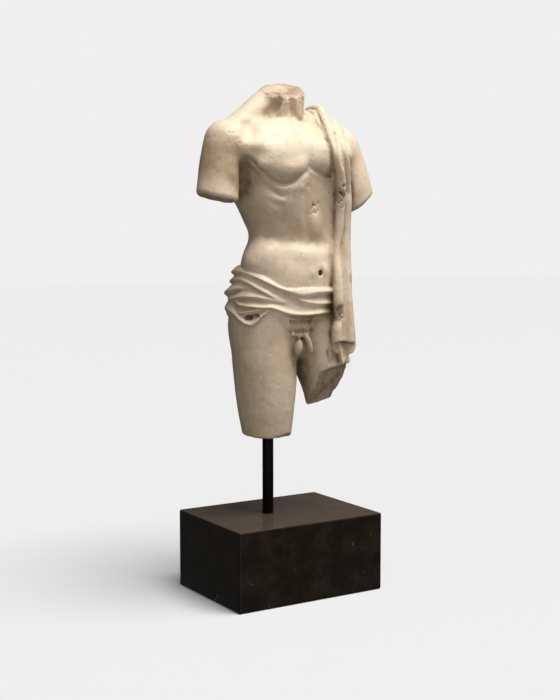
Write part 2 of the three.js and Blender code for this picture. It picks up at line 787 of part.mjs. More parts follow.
function solidOfGeometry(geometry) {
  const position = geometry.getAttribute('position');
  const order = geometry.index ? Array.from(geometry.index.array) : position.array.map((_, i) => i);
  const seen = new Map();
  const positions = [];
  const triangles = [];
  for (let n = 0; n < (geometry.index ? order.length : position.count); n += 1) {
    const v = geometry.index ? order[n] : n;
    const point = [position.getX(v), position.getY(v), position.getZ(v)];
    const key = point.map((c) => c.toFixed(4)).join(',');
    if (!seen.has(key)) {
      seen.set(key, seen.size);
      positions.push(...point);
    }
    triangles.push(seen.get(key));
  }
  const whole = [];
  for (let n = 0; n < triangles.length; n += 3) {
    const [a, b, c] = triangles.slice(n, n + 3);
    if (a !== b && b !== c && c !== a) {
      whole.push(a, b, c);
    }
  }
  return solidOf(positions, whole);
}

function meshOf(name, solid, material) {
  const { vertProperties, triVerts, numProp } = solid.getMesh();
  const positions = [];
  for (let n = 0; n < vertProperties.length; n += numProp) {
    positions.push(vertProperties[n], vertProperties[n + 1], vertProperties[n + 2]);
  }
  const geometry = new THREE.BufferGeometry();
  geometry.setAttribute('position', new THREE.Float32BufferAttribute(positions, 3));
  geometry.setIndex(Array.from(triVerts));
  geometry.computeVertexNormals();
  const mesh = new THREE.Mesh(geometry, material);
  mesh.name = name;
  return mesh;
}

// Upright cylinder between two heights on the rod's line.
function onRodLine(radius, from, to) {
  const geometry = new THREE.CylinderGeometry(radius, radius, to - from, ROD_SIDES);
  geometry.rotateX(Math.PI / 2);
  geometry.translate(ROD_X, ROD_Y, (from + to) / 2);
  return solidOfGeometry(geometry);
}

// ------------------------------------------------------------------ the figure

function carveFigure() {
  const block = new Block(GRID_LOW, GRID_HIGH, GRID_STEP);
  const mass = (m) => block.add(ellipsoid(m), m[3]);
  block.add(loft(TRUNK, 14), 0.1);
  block.add(rope(SHOULDER_LINE), 8);
  block.add(rope(RIGHT_TRAPEZIUS), 6);
  block.add(rope(LEFT_TRAPEZIUS), 6);
  block.add(broken(loft(NECK, 2), NECK_BREAK, 2.5), 6);
  mass(MASSES.rightShoulder);
  mass(MASSES.leftShoulder);
  block.add(broken(rope(RIGHT_ARM), RIGHT_ARM_BREAK, 4), 6);
  block.add(broken(rope(LEFT_ARM), LEFT_ARM_BREAK, 4), 6);
  const torsoMasses = Object.keys(MASSES).filter((key) => !key.endsWith('Shoulder'));
  torsoMasses.forEach((key) => mass(MASSES[key]));
  block.add(broken(loft(RIGHT_THIGH, 8), RIGHT_LEG_BREAK, 3), 8);
  block.add(broken(loft(LEFT_THIGH, 8), LEFT_LEG_BREAK, 2), 8);
  Object.values(CARVED_LINES).forEach((line) => block.carve(...line));
  for (let n = 0; n < RIB_COUNT; n += 1) {
    block.carve(RIB_WIDTH, RIB_DEPTH, FIRST_RIB.map(([x, y, z]) => [x + 2 * n, y + 2 * n, z - n * RIB_PITCH]));
  }
  NECK_HOLLOWS.forEach((hollow) => block.cut(ellipsoid(hollow), hollow[3]));
  Object.values(GENITALS).forEach(mass);
  block.add(rope(PENIS), 1.5);
  block.add(hipCloth(), 1.5);
  Object.values(FOLDS).forEach((fold) => block.add(hipFold(fold), 2.2));
  block.cut(hipFold(LOOP_HOLLOW), 1.5);
  block.add(rope(MANTLE.filling), 4);
  block.add(rope(MANTLE.behind), 4);
  block.add(rope(MANTLE.innerFold), 2);
  block.add(rope(MANTLE.outerFold), 2);
  block.add(rope(MANTLE.tip), 2);
  block.add(rope(MANTLE.neckEdge), 2.5);
  block.settle();
  block.fillPockets();
  return block;
}

function buildTorso() {
  const { positions, triangles } = new Facetter(carveFigure().skin()).reduce(FIGURE_FACES);
  const hole = onRodLine(ROD_RADIUS + FIT_GAP, THIGH_END - ROD_SOCKET, THIGH_END + ROD_IN_THIGH + FIT_GAP);
  return solidOf(positions, triangles).subtract(hole);
}

// Rectangular block with small chamfers on all edges and a socket for the rod.
function buildPlinth() {
  const flat = PLINTH_WIDTH / 2 - PLINTH_EDGE;
  const deep = PLINTH_DEPTH / 2 - PLINTH_EDGE;
  const outline = new THREE.Shape([
    new THREE.Vector2(-flat, -deep),
    new THREE.Vector2(flat, -deep),
    new THREE.Vector2(flat, deep),
    new THREE.Vector2(-flat, deep),
  ]);
  const geometry = new THREE.ExtrudeGeometry(outline, {
    depth: PLINTH_HEIGHT - 2 * PLINTH_EDGE,
    bevelEnabled: true,
    bevelThickness: PLINTH_EDGE,
    bevelSize: PLINTH_EDGE,
    bevelSegments: 2,
  });
  geometry.translate(0, 0, PLINTH_EDGE);
  const socket = onRodLine(ROD_RADIUS + FIT_GAP, PLINTH_HEIGHT - ROD_SOCKET - FIT_GAP, PLINTH_HEIGHT + ROD_SOCKET);
  return solidOfGeometry(geometry).subtract(socket);
}

function buildRod() {
  return onRodLine(ROD_RADIUS, PLINTH_HEIGHT - ROD_SOCKET, THIGH_END + ROD_IN_THIGH);
}

const marble = new THREE.MeshStandardMaterial({ color: 0xd9cbb0, roughness: 0.6, metalness: 0 });
const darkStone = new THREE.MeshStandardMaterial({ color: 0x1c1815, roughness: 0.22, metalness: 0 });
const blackSteel = new THREE.MeshStandardMaterial({ color: 0x111111, roughness: 0.5, metalness: 0 });

const group = new THREE.Group();
group.name = 'marble_torso_on_plinth';
group.add(meshOf('torso', buildTorso(), marble));
group.add(meshOf('rod', buildRod(), blackSteel));
group.add(meshOf('plinth', buildPlinth(), darkStone));

export default group;
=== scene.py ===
"""Marble torso of a youth on a black rod and a dark stone plinth, dressed over its CAD frame."""

import logging
import math
from dataclasses import dataclass, field
from enum import Enum
from typing import Callable, Sequence

import bpy
import numpy as np
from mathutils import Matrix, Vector


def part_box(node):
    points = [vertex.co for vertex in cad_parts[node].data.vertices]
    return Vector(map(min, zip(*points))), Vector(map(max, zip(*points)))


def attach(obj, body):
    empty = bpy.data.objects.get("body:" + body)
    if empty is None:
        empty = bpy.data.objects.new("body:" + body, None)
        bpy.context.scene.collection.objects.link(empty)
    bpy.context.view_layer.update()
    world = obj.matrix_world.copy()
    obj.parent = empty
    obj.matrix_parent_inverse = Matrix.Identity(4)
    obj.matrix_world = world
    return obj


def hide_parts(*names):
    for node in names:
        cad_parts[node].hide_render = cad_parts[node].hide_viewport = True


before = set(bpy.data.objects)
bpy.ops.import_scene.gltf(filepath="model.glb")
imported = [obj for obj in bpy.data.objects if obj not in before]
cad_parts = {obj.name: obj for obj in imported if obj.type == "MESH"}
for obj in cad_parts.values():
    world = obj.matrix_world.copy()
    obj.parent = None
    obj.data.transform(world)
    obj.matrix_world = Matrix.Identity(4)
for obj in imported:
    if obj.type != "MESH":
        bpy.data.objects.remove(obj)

LOG = logging.getLogger("torso")
MM = 0.001
SKIN_POWER = 2.15

Array = np.ndarray
Point = tuple[float, float, float]
Row = tuple[float, ...]
Span = tuple[float, float]
Socket = bpy.types.NodeSocket


# --------------------------------------------------------------------------- small mathematics


def blend_min(a: Array, b: Array, reach: float) -> Array:
    """Join two distances with a rounded valley.

    Args:
        a: First distance.
        b: Second distance.
        reach: How far apart they may be and still round each other, in mm.

    Returns:
        The distance to the joined form.
    """
    if reach <= 0:
        return np.minimum(a, b)
    h = np.maximum(reach - np.abs(a - b), 0)
    return np.minimum(a, b) - h * h / (4 * reach)


def blend_max(a: Array, b: Array, reach: float) -> Array:
    """Keep what two distances share, with a rounded edge.

    Args:
        a: First distance.
        b: Second distance.
        reach: Size of the rounding in mm.

    Returns:
        The distance to the shared form.
    """
    return -blend_min(-a, -b, reach)


def curve_through(rows: Sequence[Row], per_span: int) -> Array:
    """Sample a smooth curve through rows of numbers.

    Args:
        rows: Points of the curve, each with any number of values.
        per_span: Samples from one row to the next.

    Returns:
        The samples, one per line.
    """
    points = np.asarray(rows, float)
    if len(points) < 3:
        return points
    ends = np.vstack([2 * points[0] - points[1], points, 2 * points[-1] - points[-2]])
    t = np.linspace(0, 1, per_span, endpoint=False)[:, None]
    spans = []
    for a, b, c, d in zip(ends[:-3], ends[1:-2], ends[2:-1], ends[3:]):
        spans.append(
            0.5 * (2 * b + (c - a) * t + (2 * a - 5 * b + 4 * c - d) * t**2 + (3 * b - 3 * c + d - a) * t**3)
        )
    return np.vstack([*spans, points[-1:]])


def table_at(rows: Sequence[Row], place: Array) -> list[Array]:
    """Read every column of a table at places along its first column, smoothly.

    Args:
        rows: The table, rising in its first column.
        place: Where to read it.

    Returns:
        One array per further column.
    """
    table = np.asarray(rows, float)
    x = table[:, 0]
    i = np.clip(np.searchsorted(x, place) - 1, 0, len(x) - 2)
    span = x[i + 1] - x[i]
    t = np.clip((place - x[i]) / span, 0, 1)
    columns = []
    for y in table.T[1:]:
        slope = np.empty_like(y)
        slope[1:-1] = (y[2:] - y[:-2]) / (x[2:] - x[:-2])
        slope[0] = (y[1] - y[0]) / (x[1] - x[0])
        slope[-1] = (y[-1] - y[-2]) / (x[-1] - x[-2])
        columns.append(
            (1 + 2 * t) * (1 - t) ** 2 * y[i]
            + t * (1 - t) ** 2 * span * slope[i]
            + t * t * (3 - 2 * t) * y[i + 1]
            + t * t * (t - 1) * span * slope[i + 1]
        )
    return columns


class Grain:
    """Smooth random lattice in space, the same on every run."""

    SIZE = 32
    SHIFT = 7.3

    def __init__(self, seed: int) -> None:
        """Fill the lattice from a seed."""
        self.lattice = np.random.default_rng(seed).uniform(-1, 1, (self.SIZE,) * 3)

    def __call__(self, x: Array, y: Array, z: Array, length: float) -> Array:
        """Read the lattice.

        Args:
            x: Places along X in mm.
            y: Places along Y in mm.
            z: Places along Z in mm.
            length: Distance between lattice points in mm.

        Returns:
            Values from about -1 to 1.
        """
        x, y, z = np.broadcast_arrays(x, y, z)
        low, part = [], []
        for axis in (x, y, z):
            scaled = axis / length
            floor = np.floor(scaled)
            t = scaled - floor
            low.append(floor.astype(int) % self.SIZE)
            part.append(t * t * (3 - 2 * t))
        total = np.zeros(x.shape)
        for corner in range(8):
            bits = [(corner >> axis) & 1 for axis in range(3)]
            weight = np.ones(x.shape)
            for bit, t in zip(bits, part):
                weight = weight * (t if bit else 1 - t)
            at = tuple((base + bit) % self.SIZE for base, bit in zip(low, bits))
            total += weight * self.lattice[at]
        return total

    def rough(self, x: Array, y: Array, z: Array, length: float, octaves: int = 3) -> Array:
        """Add finer and finer readings of the lattice.

        Args:
            x: Places along X in mm.
            y: Places along Y in mm.
            z: Places along Z in mm.
            length: Coarsest distance between lattice points in mm.
            octaves: How many readings.

        Returns:
            Values from about -1 to 1.
        """
        total = 0.0
        for n in range(octaves):
            shift = self.SHIFT * n
            total = total + 0.5**n * self(x + shift, y - shift, z + 2 * shift, length * 0.5**n)
        return total / (2 - 0.5 ** (octaves - 1))


# --------------------------------------------------------------------------- forms of stone


class Form:
    """Anything with a box and a signed distance, negative inside, all in mm."""

    low: Array
    high: Array

    def distance(self, x: Array, y: Array, z: Array) -> Array:
        """Leave the distance to each kind of form."""
        raise NotImplementedError


class Mass(Form):
    """Rounded mass with three radii, turned about its centre."""

    def __init__(self, centre: Point, radii: Point, turn: Point = (0, 0, 0)) -> None:
        """Place the mass.

        Args:
            centre: Centre in mm.
            radii: Radii in mm.
            turn: Turn about X, Y and Z in degrees.
        """
        self.centre = np.asarray(centre, float)
        self.radii = np.asarray(radii, float)
        a, b, c = np.radians(turn)
        about_x = np.array([[1, 0, 0], [0, math.cos(a), -math.sin(a)], [0, math.sin(a), math.cos(a)]])
        about_y = np.array([[math.cos(b), 0, math.sin(b)], [0, 1, 0], [-math.sin(b), 0, math.cos(b)]])
        about_z = np.array([[math.cos(c), -math.sin(c), 0], [math.sin(c), math.cos(c), 0], [0, 0, 1]])
        self.axes = about_z @ about_y @ about_x
        reach = np.sqrt(((self.axes * self.radii) ** 2).sum(1))
        self.low, self.high = self.centre - reach, self.centre + reach

    def distance(self, x: Array, y: Array, z: Array) -> Array:
        """Give the signed distance at places on a grid.

        Args:
            x: Places along X in mm.
            y: Places along Y in mm.
            z: Places along Z in mm.

        Returns:
            Distances in mm, negative inside the stone.
        """
        offset = (x - self.centre[0], y - self.centre[1], z - self.centre[2])
        inner = outer = 0.0
        for axis, radius in zip(self.axes.T, self.radii):
            along = (axis[0] * offset[0] + axis[1] * offset[1] + axis[2] * offset[2]) / radius
            inner = inner + along**2
            outer = outer + (along / radius) ** 2
        level = np.sqrt(inner)
        return level * (level - 1) / np.maximum(np.sqrt(outer), 1e-6)


class Rope(Form):
    """Round rope along a smooth curve; each row is x, y, z, radius."""

    def __init__(self, rows: Sequence[Row], per_span: int = 5) -> None:
        """Lay the rope through its rows.

        Args:
            rows: Places and radii in mm.
            per_span: Straight pieces from one row to the next.
        """
        self.path = curve_through(rows, per_span)
        reach = np.maximum(self.path[:, 3:], 0)
        self.low = (self.path[:, :3] - reach).min(0)
        self.high = (self.path[:, :3] + reach).max(0)

    def distance(self, x: Array, y: Array, z: Array) -> Array:
        """Give the signed distance at places on a grid.

        Args:
            x: Places along X in mm.
            y: Places along Y in mm.
            z: Places along Z in mm.

        Returns:
            Distances in mm, negative inside the stone.
        """
        best: Array | None = None
        for start, end in zip(self.path[:-1], self.path[1:]):
            v = end - start
            dx, dy, dz = x - start[0], y - start[1], z - start[2]
            t = np.clip((dx * v[0] + dy * v[1] + dz * v[2]) / max(v[:3] @ v[:3], 1e-9), 0, 1)
            away = np.sqrt((dx - t * v[0]) ** 2 + (dy - t * v[1]) ** 2 + (dz - t * v[2]) ** 2)
            away = away - start[3] - t * v[3]
            best = away if best is None else np.minimum(best, away)
        assert best is not None
        return best


class Loft(Form):
    """Sections stacked upwards; each row is z, centre x, centre y, half width, front, back."""

    def __init__(self, rows: Sequence[Row], cap: float, grow: float = 0.0) -> None:
        """Stack the sections.

        Args:
            rows: The sections.
            cap: Rounding of the two ends in mm.
            grow: Offset outwards in mm.
        """
        self.rows, self.cap, self.grow = rows, cap, grow
        t = np.asarray(rows, float)
        self.low = np.array([(t[:, 1] - t[:, 3]).min() - grow, (t[:, 2] - t[:, 4]).min() - grow, t[0, 0]])
        self.high = np.array([(t[:, 1] + t[:, 3]).max() + grow, (t[:, 2] + t[:, 5]).max() + grow, t[-1, 0]])

    def distance(self, x: Array, y: Array, z: Array) -> Array:
        """Give the signed distance at places on a grid.

        Args:
            x: Places along X in mm.
            y: Places along Y in mm.
            z: Places along Z in mm.

        Returns:
            Distances in mm, negative inside the stone.
        """
        cx, cy, half, front, back = (c.reshape(z.shape) for c in table_at(self.rows, z.ravel()))
        depth = np.where(y < cy, front, back)
        u, v = np.abs(x - cx) / half, np.abs(y - cy) / depth
        level = (u**SKIN_POWER + v**SKIN_POWER) ** (1 / SKIN_POWER)
        steep = np.hypot(u / half, v / depth)
        across = (level - 1) * np.where(steep > 1e-6, np.hypot(u, v) / np.maximum(steep, 1e-6), half)
        beyond = np.maximum(self.rows[0][0] - z, z - self.rows[-1][0])
        return blend_max(across - self.grow, beyond + 0 * across, self.cap)


@dataclass(frozen=True)
class Face:
    """Broken face: a point of it, the way the lost stone lay, and how rough it is."""

    at: Point
    away: Point
    rough: float = 1.0
    seed: int = 3
    grain: float = 11.0

    def height(self, x: Array, y: Array, z: Array) -> Array:
        """Give how far places stand out beyond the face, in mm.

        Args:
            x: Places along X in mm.
            y: Places along Y in mm.
            z: Places along Z in mm.

        Returns:
            Heights, positive where the stone is lost.
        """
        n = np.asarray(self.away, float)
        n = n / np.linalg.norm(n)
        flat = (x - self.at[0]) * n[0] + (y - self.at[1]) * n[1] + (z - self.at[2]) * n[2]
        return flat + self.rough * Grain(self.seed).rough(x, y, z, self.grain)


class Broken(Form):
    """A form that has lost stone: once for each group, wherever all its faces are passed."""

    FACE_BLEND = 5.0
    NEAR_FACE = 1.7
    NEAR_SKIN = 1.5

    def __init__(self, form: Form, losses: Sequence[Sequence[Face]], edge: float) -> None:
        """Break a form.

        Args:
            form: The whole form.
            losses: Groups of broken faces.
            edge: Wear of the edges in mm.
        """
        self.form, self.losses, self.edge = form, losses, edge
        self.low, self.high = form.low, form.high

    def beyond(self, faces: Sequence[Face], x: Array, y: Array, z: Array) -> Array:
        """Give how far places stand out beyond one group of faces.

        Args:
            faces: The group.
            x: Places along X in mm.
            y: Places along Y in mm.
            z: Places along Z in mm.

        Returns:
            Heights in mm, positive where the stone is lost.
        """
        height = faces[0].height(x, y, z)
        for face in faces[1:]:
            height = blend_min(height, face.height(x, y, z), self.FACE_BLEND)
        return height

    def lost(self, x: Array, y: Array, z: Array) -> Array:
        """Give how far places stand out beyond the group that takes most stone there."""
        return np.maximum.reduce([self.beyond(faces, x, y, z) for faces in self.losses])

    def distance(self, x: Array, y: Array, z: Array) -> Array:
        """Give the signed distance at places on a grid.

        Args:
            x: Places along X in mm.
            y: Places along Y in mm.
            z: Places along Z in mm.

        Returns:
            Distances in mm, negative inside the stone.
        """
        d = self.form.distance(x, y, z)
        for faces in self.losses:
            d = blend_max(d, self.beyond(faces, x, y, z) + 0 * d, self.edge)
        return d

    def mask(self, vertices: Array) -> Array:
        """Tell which vertices lie on the broken faces.

        Args:
            vertices: Places in mm.

        Returns:
            Values from 0 to 1.
        """
        x, y, z = (vertices[:, n].reshape(-1, 1, 1) for n in range(3))
        near = np.clip(self.NEAR_FACE - np.abs(self.lost(x, y, z)), 0, 1)
        return (near * np.clip(self.NEAR_SKIN - self.form.distance(x, y, z), 0, 1)).ravel()


class Block:
    """Grid of signed distances that forms are added to, cut out of and carved into."""

    FAR = 40.0
    ADD_MARGIN = 14
    CUT_MARGIN = 2
    LINE_REACH = 2.6

    def __init__(self, low: Point, high: Point, step: float) -> None:
        """Lay out an empty grid.

        Args:
            low: Lowest corner in mm.
            high: Highest corner in mm.
            step: Grid step in mm.
        """
        self.step = step
        self.low = np.asarray(low, float)
        self.axes = [np.arange(a, b + step / 2, step) for a, b in zip(low, high)]
        self.d = np.full([len(a) for a in self.axes], self.FAR, np.float32)

    def window(self, low: Array, high: Array, margin: float) -> tuple[tuple[slice, ...], list[Array]]:
        """Pick the part of the grid round a box.

        Args:
            low: Lowest corner of the box.
            high: Highest corner of the box.
            margin: How much wider to look.

        Returns:
            The slices, and the coordinates of each axis ready to be broadcast.
        """
        slices, places = [], []
        for n, axis in enumerate(self.axes):
            start, stop = np.searchsorted(axis, [low[n] - margin, high[n] + margin])
            slices.append(slice(start, stop))
            shape = [1, 1, 1]
            shape[n] = -1
            places.append(axis[start:stop].reshape(shape))
        return tuple(slices), places

    def add(self, form: Form, blend: float) -> None:
        """Add stone.

        Args:
            form: What to add.
            blend: How softly it runs into the rest, in mm.
        """
        at, places = self.window(form.low, form.high, max(blend, self.ADD_MARGIN))
        self.d[at] = blend_min(self.d[at], form.distance(*places), blend)

    def cut(self, form: Form, blend: float) -> None:
        """Take stone away.

        Args:
            form: What to take out.
            blend: How softly its edge runs out, in mm.
        """
        at, places = self.window(form.low, form.high, blend + self.CUT_MARGIN)
        self.d[at] = blend_max(self.d[at], -form.distance(*places), blend)

    def carve(self, width: float, depth: float, points: Sequence[Point]) -> None:
        """Carve a line into the skin, or raise one.

        Args:
            width: Half width of the line in mm.
            depth: Depth in mm, negative for a raised line.
            points: The line.
        """
        line = Rope([(*p, 0.0) for p in points])
        at, places = self.window(line.low, line.high, self.LINE_REACH * width)
        self.d[at] += depth * np.exp(-((line.distance(*places) / width) ** 2))

    def skin(self) -> tuple[Array, Array]:
        """Close a skin of quads over the zero level.

        Returns:
            Vertices in mm, and the quads.
        """
        inside = self.d < 0
        cells = [n - 1 for n in inside.shape]
        count = np.zeros(cells, np.int8)
        corners = [((c >> 2) & 1, (c >> 1) & 1, c & 1) for c in range(8)]
        for i, j, k in corners:
            count += inside[i : i + cells[0], j : j + cells[1], k : k + cells[2]]
        cell = np.array(np.nonzero((count > 0) & (count < 8)))
        number = np.full(cells, -1, np.int64)
        number[tuple(cell)] = np.arange(cell.shape[1])
        total = np.zeros((3, cell.shape[1]))
        crossings = np.zeros(cell.shape[1])
        for corner in corners:
            for axis in range(3):
                if corner[axis]:
                    continue
                other = list(corner)
                other[axis] = 1
                da = self.d[tuple(cell[n] + corner[n] for n in range(3))].astype(float)
                db = self.d[tuple(cell[n] + other[n] for n in range(3))].astype(float)
                crossed = (da < 0) != (db < 0)
                t = np.where(crossed, da / np.where(crossed, da - db, 1), 0)
                for n in range(3):
                    total[n] += np.where(crossed, corner[n] + (t if n == axis else 0), 0)
                crossings += crossed
        vertices = (cell + total / crossings).T * self.step + self.low
        quads = []
        for axis in range(3):
            one, two = (axis + 1) % 3, (axis + 2) % 3
            first, second = [slice(None)] * 3, [slice(None)] * 3
            first[axis], second[axis] = slice(0, -1), slice(1, None)
            edge = np.argwhere(inside[tuple(first)] != inside[tuple(second)])
            ring = []
            for a, b in ((1, 1), (0, 1), (0, 0), (1, 0)):
                near = edge.copy()
                near[:, one] -= a
                near[:, two] -= b
                ring.append(number[tuple(near.T)])
            quad = np.stack(ring, 1)
            outward = inside[tuple(edge.T)]
            quads.append(np.where(outward[:, None], quad, quad[:, ::-1]))
        return vertices, np.vstack(quads)

    def fullness(self, vertices: Array, reach: float) -> Array:
        """Tell hollows from ridges by how much stone lies round each vertex.

        Args:
            vertices: Places in mm.
            reach: Half width of the neighbourhood in mm.

        Returns:
            About 0.5 on a flat face, more in a hollow and less on a ridge.
        """
        stone = np.clip(0.5 - self.d / self.step, 0, 1).astype(np.float32)
        n = max(int(round(reach / self.step)), 1)
        for axis in range(3):
            padded = np.pad(stone, [(n + 1, n) if a == axis else (0, 0) for a in range(3)])
            run = np.cumsum(padded, axis=axis, dtype=np.float64)
            ahead = np.take(run, range(2 * n + 1, run.shape[axis]), axis=axis)
            behind = np.take(run, range(0, run.shape[axis] - 2 * n - 1), axis=axis)
            stone = ((ahead - behind) / (2 * n + 1)).astype(np.float32)
        return self.read(stone, vertices)

    def read(self, grid: Array, vertices: Array) -> Array:
        """Read a grid between its points.

        Args:
            grid: Values on this block's grid.
            vertices: Places in mm.

        Returns:
            One value per place.
        """
        q = (vertices - self.low) / self.step
        base = np.clip(np.floor(q).astype(int), 0, np.array(grid.shape) - 2)
        t = q - base
        total = np.zeros(len(vertices))
        for corner in range(8):
            bits = np.array([(corner >> 2) & 1, (corner >> 1) & 1, corner & 1])
            weight = np.prod(np.where(bits, t, 1 - t), axis=1)
            total += weight * grid[tuple((base + bits).T)]
        return total


# --------------------------------------------------------------------------- finishes


class Join(Enum):
    """Ways to combine two numbers in a material."""

    ADD = "ADD"
    SUBTRACT = "SUBTRACT"
    MULTIPLY = "MULTIPLY"
    MAXIMUM = "MAXIMUM"


class Cells(Enum):
    """What a cell pattern measures."""

    MIDDLE = "F1"
    EDGE = "DISTANCE_TO_EDGE"


class Shader:
    """Small helper that strings material nodes together."""

    def __init__(self, name: str) -> None:
        """Start a material with a principled shader.

        Args:
            name: Name of the material.
        """
        self.material = bpy.data.materials.new(name)
        self.material.use_nodes = True
        self.tree = self.material.node_tree
        self.tree.nodes.clear()
        self.surface = self.tree.nodes.new("ShaderNodeBsdfPrincipled")
        output = self.tree.nodes.new("ShaderNodeOutputMaterial")
        self.tree.links.new(self.surface.outputs[0], output.inputs[0])
        self.place = self.tree.nodes.new("ShaderNodeTexCoord").outputs["Object"]

    def set(self, **sockets: object) -> None:
        """Set constants on the principled shader, underscores standing for spaces."""
        for key, value in sockets.items():
            self.surface.inputs[key.replace("_", " ")].default_value = value

    def link(self, source: Socket, socket: str) -> None:
        """Feed a socket of the principled shader."""
        self.tree.links.new(source, self.surface.inputs[socket])

    def feed(self, socket: Socket, value: object) -> None:
        """Give a node socket a link or a constant.

        Args:
            socket: The input.
            value: Another node's output, or a number or colour.
        """
        if isinstance(value, Socket):
            self.tree.links.new(value, socket)
        else:
            socket.default_value = value

    def noise(self, scale: float, detail: float = 4.0, rough: float = 0.55, warp: float = 0.0) -> Socket:
        """Add cloudy noise.

        Args:
            scale: Features per metre.
            detail: Octaves.
            rough: Strength of the finer octaves.
            warp: Distortion.

        Returns:
            The noise value.
        """
        node = self.tree.nodes.new("ShaderNodeTexNoise")
        self.tree.links.new(self.place, node.inputs["Vector"])
        for key, value in (("Scale", scale), ("Detail", detail), ("Roughness", rough), ("Distortion", warp)):
            node.inputs[key].default_value = value
        return node.outputs["Fac"]

    def cells(self, scale: float, feature: Cells = Cells.MIDDLE) -> Socket:
        """Add a cell pattern.

        Args:
            scale: Cells per metre.
            feature: What to measure.

        Returns:
            The distance within the cell.
        """
        node = self.tree.nodes.new("ShaderNodeTexVoronoi")
        node.feature = feature.value
        self.tree.links.new(self.place, node.inputs["Vector"])
        node.inputs["Scale"].default_value = scale
        return node.outputs["Distance"]

    def mask(self, name: str) -> Socket:
        """Read a value that the mesh carries at its vertices.

        Args:
            name: Name of the value.

        Returns:
            The value.
        """
        node = self.tree.nodes.new("ShaderNodeAttribute")
        node.attribute_name = name
        return node.outputs["Fac"]

    def ramp(self, value: Socket, low: float, high: float, out: Span = (0.0, 1.0)) -> Socket:
        """Stretch a value between two limits.

        Args:
            value: What to stretch.
            low: Value that becomes the first of out.
            high: Value that becomes the second of out.
            out: Range of the result.

        Returns:
            The stretched value.
        """
        node = self.tree.nodes.new("ShaderNodeMapRange")
        node.interpolation_type = "SMOOTHSTEP"
        self.tree.links.new(value, node.inputs[0])
        for slot, number in zip((1, 2, 3, 4), (low, high, *out)):
            node.inputs[slot].default_value = number
        return node.outputs[0]

    def join(self, how: Join, a: object, b: object) -> Socket:
        """Combine two numbers.

        Args:
            how: The way to combine them.
            a: First number or socket.
            b: Second number or socket.

        Returns:
            The result.
        """
        node = self.tree.nodes.new("ShaderNodeMath")
        node.operation = how.value
        self.feed(node.inputs[0], a)
        self.feed(node.inputs[1], b)
        return node.outputs[0]

    def times(self, a: object, b: object) -> Socket:
        """Multiply two numbers."""
        return self.join(Join.MULTIPLY, a, b)

    def tint(self, share: object, a: object, b: object) -> Socket:
        """Mix two colours.

        Args:
            share: Share of the second.
            a: First colour.
            b: Second colour.

        Returns:
            The mixed colour.
        """
        node = self.tree.nodes.new("ShaderNodeMix")
        node.data_type = "RGBA"
        self.feed(node.inputs[0], share)
        self.feed(node.inputs[6], a if isinstance(a, Socket) else (*a, 1.0))
        self.feed(node.inputs[7], b if isinstance(b, Socket) else (*b, 1.0))
        return node.outputs[2]

    def shelter(self, reach: float) -> Socket:
        """Tell how sheltered the surface is by its own shape.

        Args:
            reach: How far to look, in metres.

        Returns:
            0 in the deepest hollows, 1 in the open.
        """
        node = self.tree.nodes.new("ShaderNodeAmbientOcclusion")
        node.samples, node.only_local = 8, True
        node.inputs["Distance"].default_value = reach
        return node.outputs["AO"]

    def upward(self) -> Socket:
        """Tell how far the surface faces up.

        Returns:
            -1 facing down, 1 facing up.
        """
        place = self.tree.nodes.new("ShaderNodeTexCoord")
        parts = self.tree.nodes.new("ShaderNodeSeparateXYZ")
        self.tree.links.new(place.outputs["Normal"], parts.inputs[0])
        return parts.outputs[2]

    def bump(self, height: Socket, depth: float, strength: float = 1.0) -> None:
        """Feed fine relief to the shader's normal.

        Args:
            height: Relief from 0 to 1.
            depth: What that stands for, in metres.
            strength: How much of it shows.
        """
        node = self.tree.nodes.new("ShaderNodeBump")
        node.inputs["Distance"].default_value = depth
        node.inputs["Strength"].default_value = strength
        self.tree.links.new(height, node.inputs["Height"])
        self.link(node.outputs[0], "Normal")


